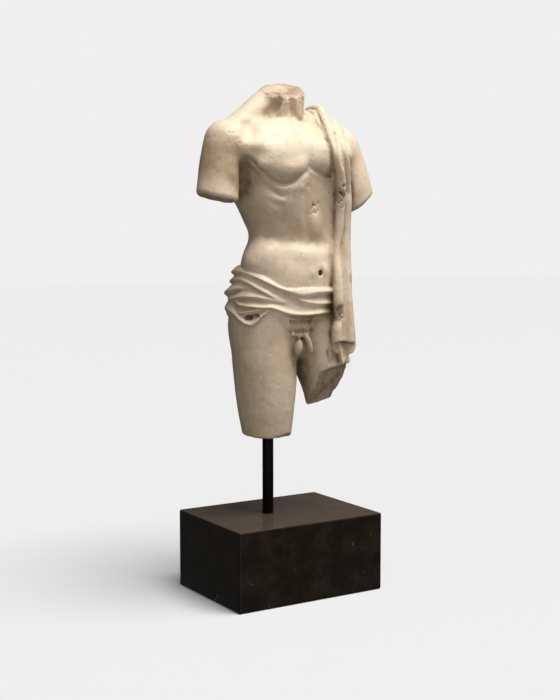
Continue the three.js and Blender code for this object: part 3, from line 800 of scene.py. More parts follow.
@dataclass(frozen=True)
class WornMarble:
    """Old marble: cream where it is clean and yellow where the ground stained it; brown partly stains and
    partly painted shade, umber painted shade in hollows and under the arm, and painted top light on
    up-facing surfaces.
    """

    cream: Point = (0.86, 0.70, 0.52)
    tan: Point = (0.66, 0.51, 0.345)
    umber: Point = (0.13, 0.08, 0.038)
    ochre: Point = (0.55, 0.39, 0.20)
    shade_and_soil: Point = (0.30, 0.205, 0.11)
    raw: Point = (0.62, 0.44, 0.31)

    def make(self) -> bpy.types.Material:
        """Build the material.

        Returns:
            The material.
        """
        s = Shader("worn_marble")
        clouds = s.ramp(s.noise(22.0, 5.0, 0.6), 0.25, 0.75, (0.0, 0.8))
        # Cream share: random cloudy tone, plus painted top light that makes up-facing surfaces lighter and
        # down-facing ones darker.
        clean_and_lit = s.join(Join.ADD, clouds, s.ramp(s.upward(), -0.2, 0.5, (-0.2, 0.6)))
        # Less cream where the stain mask is high and more where it is negative: stains, painted shade and
        # painted light.
        clean_and_lit = s.join(Join.SUBTRACT, clean_and_lit, s.mask("stain_and_painted_light"))
        colour = s.tint(s.ramp(clean_and_lit, 0.0, 1.0), self.tan, self.cream)
        colour = s.tint(s.ramp(s.noise(9.0, 3.0, 0.5), 0.52, 0.72, (0.0, 0.3)), colour, self.ochre)
        colour = s.tint(s.ramp(s.noise(120.0, 6.0, 0.7), 0.50, 0.74, (0.0, 0.25)), colour, self.umber)
        patchy = s.ramp(s.noise(60.0, 4.0, 0.6), 0.3, 0.65, (0.5, 1.0))
        # Brown by the stain mask: partly stains, mostly painted shade under the arm, in the crotch and
        # between the thighs.
        shaded_and_soiled = s.ramp(s.mask("stain_and_painted_light"), 0.0, 1.0, (0.0, 0.85))
        colour = s.tint(s.times(shaded_and_soiled, patchy), colour, self.shade_and_soil)
        # Painted shade: umber where the marble's own shape shelters the surface within 30 mm, as under the
        # arm and between the thighs.
        sheltered_shade = s.ramp(s.shelter(0.03), 0.3, 0.86, (0.88, 0.0))
        colour = s.tint(s.times(sheltered_shade, patchy), colour, self.umber)
        # Umber in crevices and creases from the hollow mask: partly grime in the grooves, partly painted
        # shade.
        crevice_grime_and_shade = s.times(s.mask("hollow"), patchy)
        colour = s.tint(s.ramp(crevice_grime_and_shade, 0.0, 1.0, (0.0, 0.85)), colour, self.umber)
        stone = s.tint(s.ramp(s.noise(75.0, 6.0, 0.75), 0.35, 0.7), self.raw, self.umber)
        colour = s.tint(s.times(s.mask("broken"), 0.85), colour, stone)
        specks = s.ramp(s.cells(420.0), 0.0, 0.16, (1.0, 0.0))
        specks = s.times(specks, s.ramp(s.noise(40.0, 2.0, 0.5), 0.55, 0.7))
        colour = s.tint(s.times(specks, 0.7), colour, self.umber)
        s.link(colour, "Base Color")
        s.link(s.ramp(s.noise(150.0, 4.0, 0.6), 0.3, 0.7, (0.36, 0.58)), "Roughness")
        relief = s.join(Join.ADD, s.noise(380.0, 5.0, 0.65), s.times(s.noise(1500.0, 3.0, 0.6), 0.35))
        relief = s.join(Join.SUBTRACT, relief, s.times(specks, 1.2))
        s.bump(relief, 0.0003, 0.8)
        s.set(IOR=1.5, Specular_IOR_Level=0.4)
        return s.material


@dataclass(frozen=True)
class FleckedStone:
    """Polished black-brown stone with pale flecks and short veins, and a lighter brown top, partly dust and
    partly painted top light.
    """

    ground: Point = (0.010, 0.008, 0.0055)
    warm: Point = (0.022, 0.016, 0.010)
    dust_and_top_light: Point = (0.075, 0.054, 0.038)
    fleck: Point = (0.36, 0.32, 0.26)
    rust: Point = (0.26, 0.17, 0.08)

    def make(self) -> bpy.types.Material:
        """Build the material.

        Returns:
            The material.
        """
        s = Shader("flecked_stone")
        colour = s.tint(s.ramp(s.noise(45.0, 6.0, 0.65), 0.4, 0.7), self.ground, self.warm)
        flecks = s.ramp(s.noise(62.0, 8.0, 0.78, 0.8), 0.665, 0.73)
        flecks = s.times(flecks, s.ramp(s.noise(24.0, 2.0, 0.5), 0.46, 0.6))
        vein = s.ramp(s.cells(48.0, Cells.EDGE), 0.0, 0.03, (1.0, 0.0))
        vein = s.times(vein, s.ramp(s.noise(46.0, 5.0, 0.7, 0.6), 0.60, 0.70))
        pale = s.tint(s.ramp(s.noise(30.0, 2.0, 0.5), 0.5, 0.62), self.fleck, self.rust)
        # The top is painted lighter brown: partly dust, partly painted top light.
        on_top = s.ramp(s.upward(), 0.6, 0.95)
        dusty_and_lit = s.times(on_top, s.ramp(s.noise(35.0, 5.0, 0.6), 0.3, 0.7, (0.7, 1.0)))
        colour = s.tint(dusty_and_lit, colour, self.dust_and_top_light)
        strength = s.join(Join.MAXIMUM, s.times(vein, 0.5), flecks)
        strength = s.times(strength, s.ramp(on_top, 0.0, 1.0, (0.75, 0.3)))
        colour = s.tint(strength, colour, pale)
        s.link(colour, "Base Color")
        s.link(s.ramp(s.noise(200.0, 3.0, 0.5), 0.3, 0.7, (0.10, 0.17)), "Roughness")
        s.bump(s.noise(300.0, 3.0, 0.5), 0.00004, 0.6)
        s.set(IOR=1.3)
        return s.material


@dataclass(frozen=True)
class BlackSteel:
    """Black steel with a faint drawn grain."""

    base: Point = (0.002, 0.0018, 0.0016)
    rubbed: Point = (0.005, 0.0045, 0.004)

    def make(self) -> bpy.types.Material:
        """Build the material.

        Returns:
            The material.
        """
        s = Shader("black_steel")
        s.link(s.tint(s.ramp(s.noise(260.0, 5.0, 0.6), 0.45, 0.75), self.base, self.rubbed), "Base Color")
        s.link(s.ramp(s.noise(600.0, 3.0, 0.6), 0.3, 0.7, (0.38, 0.52)), "Roughness")
        s.bump(s.noise(900.0, 3.0, 0.6), 0.00003, 0.5)
        s.set(Metallic=0.0, IOR=1.2)
        return s.material


@dataclass(frozen=True)
class PalePaper:
    """Plain pale backdrop."""

    tone: Point = (0.625, 0.632, 0.652)

    def make(self) -> bpy.types.Material:
        """Build the material.

        Returns:
            The material.
        """
        s = Shader("pale_paper")
        s.set(Base_Color=(*self.tone, 1.0), Roughness=0.9, Specular_IOR_Level=0.1)
        return s.material


# --------------------------------------------------------------------------- pieces


def mesh_piece(name: str, vertices: Array, faces: Array, material: bpy.types.Material) -> bpy.types.Object:
    """Make a smooth piece from plain arrays.

    Args:
        name: Name of the piece.
        vertices: Vertices in mm.
        faces: Faces as rows of vertex numbers.
        material: Its finish.

    Returns:
        The piece, linked into the scene.
    """
    mesh = bpy.data.meshes.new(name)
    mesh.from_pydata((vertices * MM).tolist(), [], faces.tolist())
    mesh.polygons.foreach_set("use_smooth", np.ones(len(mesh.polygons), bool))
    mesh.update()
    mesh.materials.append(material)
    piece = bpy.data.objects.new(name, mesh)
    bpy.context.scene.collection.objects.link(piece)
    return piece


TRUNK: tuple[Row, ...] = (
    (256, 2, 0, 48, 28, 32), (272, 2, 0, 55, 35, 40), (290, 3, -1, 59, 39, 46), (310, 4, -1, 60, 41, 46),
    (330, 7, -2, 59, 42, 40), (350, 9.2, -4, 56.8, 42, 34), (370, 10.8, -6, 53.2, 38, 31),
    (388, 10.2, -7, 49.8, 35, 30),
    (405, 6, -7, 53.2, 36, 32), (425, 2, -6, 58.2, 39, 36), (445, 0, -5, 59, 42, 39),
    (465, -2, -4, 61, 44, 41),
    (482, -3, -3, 60, 42, 40), (497, -3, 0, 52, 35, 34), (508, -4, 2, 40, 27, 27),
)
TRUNK_CAP = 14


class HipCloth(Form):
    """Cloth wound round the hips: a layer with folds, between its upper edge and its hem."""

    CREST = 0.7
    UPPER_SLOPE = 1.05
    LOWER_SLOPE = 0.66
    FOLD_BLEND = 0.9
    THICKNESS = 2.3
    THINNEST = 0.5
    TOP_EDGE = 2.2
    HEM_EDGE = 1.2
    MARGIN = 8
    LOWEST = 280.0
    HIGHEST = 362.0

    def __init__(
        self, top: Sequence[Row], hem: Sequence[Row], folds: Sequence[Sequence[Row]], pit: Row
    ) -> None:
        """Lay the cloth.

        Args:
            top: Angle from the front and height along the upper edge.
            hem: Angle from the front and height along the hem.
            folds: Angle, height, rise and width along each fold.
            pit: Angle, height, half angle, half height and depth of the hollow in the loop.
        """
        self.top, self.hem, self.folds, self.pit = top, hem, folds, pit
        self.skin = Loft(TRUNK, TRUNK_CAP)
        self.low = np.array([*(self.skin.low[:2] - self.MARGIN), self.LOWEST])
        self.high = np.array([*(self.skin.high[:2] + self.MARGIN), self.HIGHEST])

    def relief(self, angle: Array, z: Array) -> Array:
        """Give how far the cloth stands off the skin, in mm.

        Args:
            angle: Angles from the front in degrees.
            z: Heights in mm.

        Returns:
            The stand-off.
        """
        rise = np.zeros(angle.shape)
        for rows in self.folds:
            height, crest, width = (c.reshape(angle.shape) for c in table_at(rows, angle.ravel()))
            within = (angle >= rows[0][0]) & (angle <= rows[-1][0])
            off = z - height
            away = np.abs(off) / (width * np.where(off > 0, self.UPPER_SLOPE, self.LOWER_SLOPE))
            peak = crest * np.exp(self.CREST - np.sqrt(away**2 + self.CREST**2))
            rise = blend_max(rise, np.where(within, peak, 0), self.FOLD_BLEND)
        centre, height, half_angle, half_height, depth = self.pit
        pit = depth * np.exp(-(((angle - centre) / half_angle) ** 2) - ((z - height) / half_height) ** 2)
        return np.maximum(self.THICKNESS + rise - pit, self.THINNEST)

    def distance(self, x: Array, y: Array, z: Array) -> Array:
        """Give the signed distance at places on a grid.

        Args:
            x: Places along X in mm.
            y: Places along Y in mm.
            z: Places along Z in mm.

        Returns:
            Distances in mm, negative inside the stone.
        """
        cx, cy = (c.reshape(z.shape) for c in table_at(TRUNK, z.ravel())[:2])
        angle = np.degrees(np.arctan2(x - cx + 0 * y, cy - y + 0 * x))
        top, hem = (table_at(rows, angle.ravel())[0].reshape(angle.shape) for rows in (self.top, self.hem))
        d = self.skin.distance(x, y, z) - self.relief(angle, z + 0 * angle)
        return blend_max(blend_max(d, z - top, self.TOP_EDGE), hem - z, self.HEM_EDGE)


class Flap(Form):
    """Hanging end of cloth: an outline with pleats, seen along one direction."""

    LEAN = 0.22
    EDGE = 1.0

    def __init__(self, outline: Sequence[Span], pleats: Sequence[Row], across: Point, half: float) -> None:
        """Cut the flap.

        Args:
            outline: Corners as distance across and height, in mm.
            pleats: Distance across and depth of its middle, in mm.
            across: Direction of the first measure.
            half: Half its thickness in mm.
        """
        self.outline, self.pleats, self.half = np.asarray(outline, float), pleats, half
        self.level = float(self.outline[:, 1].mean())
        a = np.asarray(across, float)
        self.across = a / np.linalg.norm(a)
        self.inward = np.array([-self.across[1], self.across[0], 0.0])
        depth = [row[1] for row in pleats]
        ends = [
            s * self.across + d * self.inward + np.array([0, 0, z])
            for s, z in self.outline
            for d in (min(depth) - half, max(depth) + half)
        ]
        self.low, self.high = np.min(ends, 0), np.max(ends, 0)

    def distance(self, x: Array, y: Array, z: Array) -> Array:
        """Give the signed distance at places on a grid.

        Args:
            x: Places along X in mm.
            y: Places along Y in mm.
            z: Places along Z in mm.

        Returns:
            Distances in mm, negative inside the stone.
        """
        s = self.across[0] * x + self.across[1] * y + 0 * z
        deep = self.inward[0] * x + self.inward[1] * y + 0 * z
        height = z + 0 * s
        away = np.full(s.shape, 1e6)
        inside = np.zeros(s.shape, bool)
        for (s0, z0), (s1, z1) in zip(self.outline, np.roll(self.outline, -1, 0)):
            ds, dz = s1 - s0, z1 - z0
            t = np.clip(((s - s0) * ds + (height - z0) * dz) / (ds * ds + dz * dz), 0, 1)
            away = np.minimum(away, np.hypot(s - s0 - t * ds, height - z0 - t * dz))
            crosses = (z0 > height) != (z1 > height)
            inside ^= crosses & (s < s0 + ds * (height - z0) / (dz if dz else 1e-9))
        flat = np.where(inside, -away, away)
        along = s + self.LEAN * (height - self.level)
        middle = table_at(self.pleats, along.ravel())[0].reshape(s.shape)
        return blend_max(flat, np.abs(deep - middle) - self.half, self.EDGE)


@dataclass
class Torso:
    """The carved marble: body, broken ends, cloth round the hips and mantle."""

    step: float = 1.1
    low: Point = (-118, -84, 158)
    high: Point = (124, 66, 560)
    most_triangles: int = 196000
    hollows: tuple[Row, ...] = ((2.4, 0.54, 5, 0.7), (8.0, 0.58, 4, 0.6))  # reach, start, steepness, share
    spot_edge: float = 1.35
    pit_edge: float = 1.4
    wear_depth: float = 0.3
    wear_grain: float = 17.0
    chip_depth: float = 0.8
    chip_grain: float = 3.1
    chip_start: float = 0.52
    hole_grain: float = 2.6
    hole_start: float = 0.2
    body: Block = field(init=False)
    broken: list[Broken] = field(init=False, default_factory=list)

    shoulder_line: tuple[Row, ...] = (
        (-64, -4, 481, 19), (-35, 3, 491, 17), (-3, 5, 495, 18), (33, 3, 490, 18), (64, -5, 479, 19),
    )
    right_trapezius: tuple[Row, ...] = (
        (-2, 8, 533, 16), (-12, 8, 528, 15.5), (-39, 4, 509, 14), (-55, 1, 497.5, 14),
    )
    left_trapezius: tuple[Row, ...] = ((8, 6, 522, 15), (30, 5, 507, 14), (50, 1, 494, 13))
    neck: tuple[Row, ...] = (
        (490, -2, 1, 24, 24, 24), (505, 0, 1, 23.5, 22.5, 23), (520, 2, 0, 23.5, 22.5, 22.5),
        (560, 5, -1, 22.5, 21.5, 21),
    )
    neck_cords: tuple[tuple[Row, ...], ...] = (
        ((-6, -15.5, 534, 3.6), (-8, -16, 525, 4), (-8.5, -16, 517, 5), (-8, -15, 508, 6)),
        ((13, -15, 538, 4), (12, -16, 524, 4), (12, -16, 513, 5)),
    )
    neck_hollows: tuple[tuple[Row, ...], ...] = (
        ((-13.5, -17.5, 528, 4.5), (-17, -16, 521, 6), (-22.5, -13, 515, 5)),
        ((1, -24, 527, 4), (2, -23.5, 519, 5), (3.5, -23, 513, 4)),
        ((25, -10, 524, 3.5), (26, -10, 517, 4)),
    )
    right_arm: tuple[Row, ...] = ((-71.5, -7, 484, 21.4), (-78.5, -10, 460, 21.8), (-87, -15, 410, 22.6))
    left_arm: tuple[Row, ...] = ((69.5, -10, 482, 20), (79.5, -13, 458, 20.5), (94, -18, 400, 21.4))
    right_thigh: tuple[Row, ...] = (
        (140, -16, 1, 23, 25, 27), (172, -16, 1, 25.4, 27.4, 29), (200, -17.8, 0, 29.6, 30.4, 32),
        (230, -19, -1, 32.8, 33.4, 34), (262, -21.5, -2, 33.2, 35, 37), (290, -22.2, -2, 32.6, 36, 38),
        (315, -20, -3, 30, 36, 38),
    )
    left_thigh: tuple[Row, ...] = (
        (190, 66, -6, 26, 28, 29), (210, 61.5, -6, 27, 29, 30), (222, 58.5, -6, 28.5, 30, 31),
        (232, 54.9, -6, 29.4, 31, 32),
        (245, 50.4, -6, 30.9, 32.5, 33), (262, 46.8, -5, 31.8, 34, 35), (290, 42, -4, 31, 36, 37),
        (315, 34, -3, 31, 36, 37),
    )
    shoulders: tuple[tuple[Point, Point], ...] = (
        ((-68.5, -6, 479), (21.5, 24, 26)), ((69, -9, 477.5), (21, 24, 25)),
    )
    neck_loss: tuple[tuple[Face, ...], ...] = ((Face((2, 0, 541), (-0.144, -0.38, 1), 2.2, 5),),)
    right_arm_loss: tuple[tuple[Face, ...], ...] = ((Face((-86, -28, 424), (-0.22, 0.02, -1), 1.0, 7),),)
    left_arm_loss: tuple[tuple[Face, ...], ...] = ((Face((106, -28, 435.5), (0.62, -0.15, -0.78), 1.4, 9),),)
    right_leg_loss: tuple[tuple[Face, ...], ...] = (
        (Face((-17, 0, 170.3), (-0.05, 0.03, -1), 0.8, 11),),
        (Face((2, -20, 173), (0.2, -0.5, -1), 0.8, 12),),
    )
    left_leg_loss: tuple[tuple[Face, ...], ...] = (
        (Face((33, -19.4, 223), (0.365, -0.75, -0.552), 2.6, 13),
         Face((40, -34, 243), (0.17, -0.1, -0.98), 1.6, 14)),
        (Face((42, -8, 201), (0.128, -0.116, -1), 1.2, 17),),
    )
    masses: tuple[tuple[Point, Point, Point, float], ...] = (
        ((-18, -31, 464.5), (31, 20, 26), (6, 0, 12), 6),  # right breast
        ((-46, -24, 477), (25, 15, 15), (0, -22, 24), 7),
        ((20, -33, 467), (27, 18.5, 23), (6, 0, -8), 6),  # left breast
        ((47, -26, 476), (24, 14, 15), (0, 20, -26), 7),
        ((-44, 8, 460), (13, 26, 34), (0, 5, 0), 10),  # flanks
        ((47, 8, 452), (13, 26, 38), (0, -5, 0), 10),
        ((-34, 26, 468), (20, 12, 26), (0, 10, 0), 10),  # shoulder blades
        ((30, 26, 468), (20, 12, 26), (0, -10, 0), 10),
        ((-19, 20, 288), (27, 24.5, 29), (0, 0, 0), 10),  # buttocks
        ((31, 22, 286), (28, 25, 30), (0, 0, 0), 10),
        ((-27.5, -15, 359), (24, 20, 20), (0, 0, 0), 14),  # waist and belly
        ((42, -14, 356), (20, 20, 20), (0, 0, 0), 14),
        ((14, -22, 340), (34, 23, 32), (0, 0, 0), 14),
        ((-27, -23, 366.5), (16, 12, 11), (0, 0, 0), 7),
        ((12, -34.5, 364), (18, 12, 12), (0, 0, 0), 7),
        ((17, -35, 399), (9, 9, 17), (0, 0, 0), 6),
        ((3, -30, 290), (20, 12, 12), (0, 0, 0), 6),
    )
    breast_edges: tuple[tuple[Row, ...], ...] = (
        ((-58, -28, 471, 8.5), (-47, -33, 465, 10.5), (-38, -36, 460.5, 12.5), (-29, -38, 458, 13.5),
         (-19, -39, 457, 14),
         (-9, -39, 458.5, 13.5), (-1, -39, 462, 11.5), (5, -39, 466, 9)),
        ((10, -40, 467, 9), (17, -40, 465, 10.5), (25, -39, 463, 11), (34, -36, 462, 11),
         (42, -32, 462, 9)),
    )
    side_of_belly: tuple[Row, ...] = (
        (40, -31, 458, 9), (43, -29, 436, 10), (45, -26.5, 412, 10), (45, -27, 390, 10), (41, -31, 368, 9),
    )
    lines: tuple[tuple[float, float, tuple[Point, ...]], ...] = (
        (2.6, 2.6, ((-64.5, -36, 466.5), (-51, -36, 460.5), (-44, -39.5, 451.5), (-37.5, -41, 445),
          (-30, -42, 441.5),
                    (-21.5, -43, 440), (-13, -45, 442), (-5, -47, 447.5), (2.5, -47.5, 453))),
        (2.4, 2.0, ((7, -48.5, 458), (16.5, -47.5, 453.5), (26, -45, 450), (39, -40, 449))),
        (5, 2.4, ((0, -30, 500), (3, -46, 484), (3, -50, 470), (4, -51, 458))),
        (3.4, 1.2, ((3.3, -46, 438), (3.5, -45, 424), (5.3, -43.5, 408), (7.6, -42.5, 392.6),
          (8.2, -43, 377))),
        (7, 3.0, ((-33, -27, 386), (-20, -36, 382), (-5.7, -40.5, 380.5), (9, -43, 380), (26, -42, 379))),
        (10, 2.2, ((-17, -38, 398), (-12, -38, 390), (-4, -40, 386))),
        (5, -1.6, ((13, -46, 349), (17, -46.5, 353), (22.5, -46, 353.5), (26, -45, 350))),
        (5, -1.6, ((-56, -14, 510), (-30, -18, 507), (-6, -25, 508))),
        (7, 2.4, ((-49, -18, 500), (-51, -27, 491), (-57, -36, 482), (-61, -39, 473))),
        (7, 2.4, ((-70, -33, 471.5), (-64, -35.5, 471.5), (-57.6, -38.4, 471), (-51, -41.5, 467.5))),
        (5, 1.5, ((-22, -42, 296), (-14, -40, 278), (-6, -36, 258))),
        (8, 5.0, ((-2, 34, 505), (0, 38, 480), (3, 36, 450), (11, 28, 385), (9, 32, 355), (4, 46, 300),
          (4, 40, 270))),
        (3.2, -1.6, ((-45.5, -32, 440), (-40.5, -34, 431.8), (-34.8, -36.5, 426.7), (-21, -41.5, 422.6))),
        (3.0, -1.6, ((-50.7, -27, 441), (-46.4, -29.7, 434), (-41.6, -32, 426.7), (-35.7, -34, 419.5),
          (-28.7, -36.5, 413.3))),
        (2.9, -1.3, ((-47, -26.7, 427.7), (-42.6, -29.3, 421.6), (-37, -32, 415.4), (-33, -33.3, 410.3))),
        (2.8, 1.6, ((-39.6, -36.4, 439), (-33.7, -38.6, 434), (-24.4, -41.3, 427.7))),
        (4, -1.3, ((-29, -41, 436), (-15.3, -44.3, 435), (2, -46, 437.3))),
    )
    navel: tuple[Point, Point, Point] = ((20.4, -45.3, 347.4), (3.2, 5.4, 3.2), (0, 12, 0))
    armpit: tuple[Row, ...] = (
        (-63, -34, 464, 3), (-60.5, -27, 452, 5), (-60.5, -22, 438, 5.5), (-62.5, -20, 424, 6),
    )
    pitted: tuple[tuple[Point, float, float], ...] = (
        ((-72, -29, 486.5), 8, 1.2), ((18, -43, 416), 8, 1.6), ((46, -49, 432), 11, 2.4),
        ((47, -48, 423), 7, 2.0),
        ((42, -51, 304), 9, 2.2), ((64, -43, 340), 6, 2.4), ((4, -12, 537), 16, 1.6),
        ((3, -45, 441), 5, 0.8), ((52, -38, 222), 24, 1.6),
    )
    # Spots of stain and painted light: centre, radius and strength. Positive strengths darken and brown the
    # marble, partly as stains, mostly as painted shade on the right arm and shoulder, in the armpit and at
    # the flank, under the breasts, at the neck, in the crotch, between the thighs and beside the cloth and
    # mantle. Negative strengths paint light on the front of the cloth, the belly, the upper chest and the
    # left arm.
    stains_and_painted_light: tuple[tuple[Point, float, float], ...] = (
        ((-86, -26, 462), 26, 0.5), ((-72, -30, 456), 16, 0.5), ((-92, -10, 475), 26, 0.4),
        ((-60, -22, 445), 24, 0.7),
        ((-58, -38, 471), 14, 0.5), ((-52, -15, 405), 24, 0.4), ((-8, -40, 402), 26, 0.35),
        ((3, -44, 288), 19, 0.9),
        ((8, -22, 258), 24, 0.7), ((16, -36, 300), 16, 0.5), ((37, -46, 306), 13, 0.9),
        ((46, -49, 431), 9, 0.8),
        ((34, -46, 455), 8, 0.7), ((-12, -18, 520), 13, 0.45), ((88, -25, 440), 14, 0.3),
        ((-55, -10, 320), 20, 0.35),
        ((64, -43, 340), 7, 0.8), ((70, -36, 275), 14, 0.5), ((52, -40, 262), 12, 0.6),
        ((-17, -20, 182), 26, 0.2),
        ((-10, -50, 322), 36, -0.35), ((20, -50, 325), 26, -0.35), ((-42, -38, 335), 20, -0.25),
        ((-4, -44, 366), 24, -0.4),
        ((-6, -34, 490), 34, -0.4), ((82, -28, 452), 16, -0.3),
    )
    cloth_top: tuple[Row, ...] = (
        (-180, 350), (-120, 355), (-95, 355), (-80, 352.6), (-73, 351), (-62, 346.7), (-52, 341.3),
        (-41, 335.2),
        (-34.7, 333), (-28, 332.2), (-15, 332), (6, 332.4), (34, 332.4), (60, 336), (120, 345), (180, 350),
    )
    cloth_hem: tuple[Row, ...] = (
        (-180, 286), (-130, 297), (-105, 302), (-90, 300), (-80, 295.4), (-72, 292.6), (-65, 291.8),
        (-57, 295),
        (-51, 300), (-45, 304), (-38, 305.2), (-31, 303.7), (-22, 302.8), (-9, 301.6), (7, 301.6),
        (39, 303),
        (90, 300), (180, 286),
    )
    folds: tuple[tuple[Row, ...], ...] = (
        ((-100, 353, 0, 2), (-80, 350.6, 1.6, 1.5), (-64, 346, 1.6, 1.4), (-54, 341, 1.4, 1.3),
         (-42, 335, 0, 1.2)),
        ((-180, 343, 4, 5), (-150, 344, 5.5, 5), (-120, 346.5, 7.5, 4), (-105, 348.7, 6.4, 4),
         (-92, 349.4, 4.8, 3.8),
         (-83, 348.4, 4.2, 3), (-72, 346, 4.2, 2.6), (-63, 342.6, 4.4, 2.5), (-54, 338.6, 4.6, 2.5),
         (-45, 334.6, 4.9, 2.7),
         (-34, 330.6, 5.2, 3.2), (-25, 328, 5.5, 4.6), (-14, 325.6, 5.6, 6.2), (-3, 325.6, 5.5, 5.6),
         (8, 327, 5.3, 4), (35, 328, 5.2, 3.6), (70, 329, 4, 5),
         (120, 336, 4, 5), (180, 343, 4, 5)),
        ((-24, 324.5, 0, 2), (-15, 320.4, 3.6, 2.6), (-1, 316.9, 4.8, 2.6), (12, 315.4, 4.8, 2.7),
         (29, 314.8, 4.8, 2.8),
         (45, 315.6, 4.4, 3), (70, 319, 3, 4), (110, 326, 2, 4), (140, 332, 0, 4)),
        ((-170, 334, 0, 4), (-150, 334, 3, 4), (-121, 336.3, 6.6, 3.2), (-108, 338.8, 5.6, 3.2),
         (-96, 340.6, 4.2, 3), (-84, 340.6, 3.4, 2.4),
         (-72, 336.8, 3.8, 2.4), (-65, 333.4, 4.2, 2.4), (-58, 329.8, 4.4, 2.4), (-51, 326.3, 4.4, 2.4),
         (-44, 322.4, 3.8, 2.2),
         (-36, 319.8, 2, 2), (-28, 318.5, 0, 2)),
        ((-180, 322, 4, 6), (-150, 322, 5, 6), (-122, 324, 8.6, 4.6), (-108, 327, 7.2, 4.4),
         (-97, 329, 6, 4), (-88, 331, 4, 2.8),
         (-80, 331.5, 2, 2.4), (-72, 331, 0, 2)),
        ((-112, 321, 0, 3), (-101, 320, 3.6, 3), (-90, 320.5, 4.4, 2.6), (-80, 322.6, 4.6, 2.6),
         (-71, 323.2, 4.5, 2.6),
         (-64, 323, 4.4, 2.6), (-57, 322, 4.2, 2.6), (-48, 320.2, 3.6, 2.6), (-34, 317.6, 2.6, 2.4),
         (-20, 316, 0, 2.4)),
        ((-40, 316, 0, 3), (-18, 310.8, 1.6, 3), (6, 308.6, 1.7, 3), (31, 308.3, 1.5, 3), (60, 309, 0, 3)),
        ((-180, 303, 3, 6), (-150, 303, 3, 6), (-122, 308.5, 2.8, 5), (-110, 309.5, 3.6, 5),
         (-99, 309.5, 4.6, 4.4), (-91, 307.6, 4.6, 3.2),
         (-84, 304.5, 4.2, 2.6), (-77, 298.9, 4.2, 2.2), (-70, 294.8, 4.2, 1.9), (-65, 294, 4.2, 1.9),
         (-60, 297.3, 4.2, 2),
         (-55, 302.6, 4.2, 2.1), (-51, 306, 3.8, 2.1), (-46, 309.5, 0, 2)),
        ((-93, 317.8, 0, 2), (-85, 317, 3.4, 2.2), (-79, 314.6, 4.2, 2), (-72, 313.6, 4.6, 2),
         (-62, 312.8, 4.8, 2),
         (-54, 312, 4.8, 2.1), (-47, 312.2, 4.8, 2.3), (-39, 310.2, 5, 2.4), (-31, 307.6, 5.2, 2.4),
         (-22, 305.4, 5.3, 2.5),
         (-9, 303.9, 5.3, 2.5), (6, 303.8, 5.3, 2.5), (23, 304.7, 5, 2.6), (39, 305.2, 4.8, 2.8),
         (70, 305, 4.4, 3.4),
         (120, 298, 4, 4.5), (180, 291, 4, 5)),
        ((-180, 291, 4, 5), (-150, 296, 2, 4), (-125, 300, 0, 4)),
        ((-88, 306, 0, 1.8), (-77, 305.9, 3.2, 1.5), (-69, 307, 3.4, 1.4), (-62, 308.2, 3.6, 1.5),
         (-55, 309.6, 3, 1.6), (-48, 311, 0, 1.8)),
    )
    worn_end: tuple[Point, Point, Point] = ((41, -55, 303), (8, 5.5, 11), (0, 35, 0))
    loop_pit: Row = (-66.5, 301.4, 6.4, 2.5, 2.0)
    loop_hollows: tuple[tuple[Point, Point, Point], ...] = (
        ((-51.6, -21.4, 301.2), (5.2, 5, 2.7), (0, -12, 30)), ((-47.2, -27, 303.4), (4, 4.5, 1.9),
         (0, -25, 40)),
    )
    mantle: tuple[tuple[float, tuple[Row, ...]], ...] = (
        (4, ((47, 33, 340, 9), (47, 21, 395, 9), (44, 31, 455, 11), (44, 25, 494, 13), (47, 9, 509, 13),
          (50, -6, 506, 12),
             (51, -16, 497, 11), (48, -30, 485, 10), (44, -42, 470, 8), (47, -41, 450, 8),
             (52, -36, 430, 8), (54, -33, 410, 8),
             (54, -32, 390, 8), (52, -33, 371, 8), (51, -36, 350, 8), (51, -38, 328, 9),
             (52, -39, 300, 8.5), (53, -39, 284, 7.5), (53.5, -39.5, 266, 7))),
        (4, ((50, -28, 450, 8), (53, -24, 400, 10), (54, -24, 340, 11), (54, -26, 292, 10))),
        (1.8, ((36, 39, 340, 6), (36, 27, 395, 6), (35, 39, 455, 6), (40, 31, 496, 6.5),
          (47, 18, 519, 6), (53, 6, 523.5, 5.5),
               (49.5, -8, 515.5, 5), (48.5, -17, 505, 4.6), (42.5, -33, 492, 4.6),
               (36.5, -47, 482, 4.4), (35.5, -52, 471, 4.3),
               (40, -50.5, 461, 4.6), (45, -48, 450.5, 5.4), (48, -45, 435, 5.8), (49, -42, 414, 5.6),
               (48.5, -41, 392.5, 5.6),
               (45, -42, 371.5, 4.6), (43, -46, 350, 5.4), (43, -48.5, 329, 5.9),
               (43.5, -48.5, 307.5, 5.7), (44.5, -48, 301, 4))),
        (1.8, ((55, 34, 340, 7), (54, 19, 395, 7), (53, 31, 455, 7), (55, 26, 488, 7),
          (60, 11, 502, 6.5), (60, -8, 508.6, 5),
               (61, -17, 503.5, 4.2), (57, -30, 493, 4.2), (51.5, -42, 482.5, 4.3),
               (51.5, -47, 472, 4.2), (55, -46, 461.5, 4),
               (57.5, -44, 451, 3.6), (60.5, -41, 435.5, 3))),
        (1.8, ((61, -38.5, 448, 3.6), (61, -37.5, 424.5, 5.8), (60.3, -36.5, 408.5, 6.3),
          (59.7, -36.5, 392.5, 6.4), (58.8, -37, 376.5, 6.9),
               (58.6, -38, 360.5, 6.9), (58.3, -40.5, 344.5, 6.5), (58.2, -42, 328.5, 6.1),
               (58.8, -43, 312, 6.4), (60, -43, 296, 6.8),
               (61, -43, 284, 7.2), (61.5, -43, 266, 7.2))),
        (1.5, ((44, -44.5, 298, 4), (44, -45, 290, 5.6), (43.5, -45, 284, 6), (44.5, -45, 266, 6.2))),
        (2, ((34, 14, 512, 5), (40, 4, 519, 4), (43.5, -4, 517, 3))),
    )
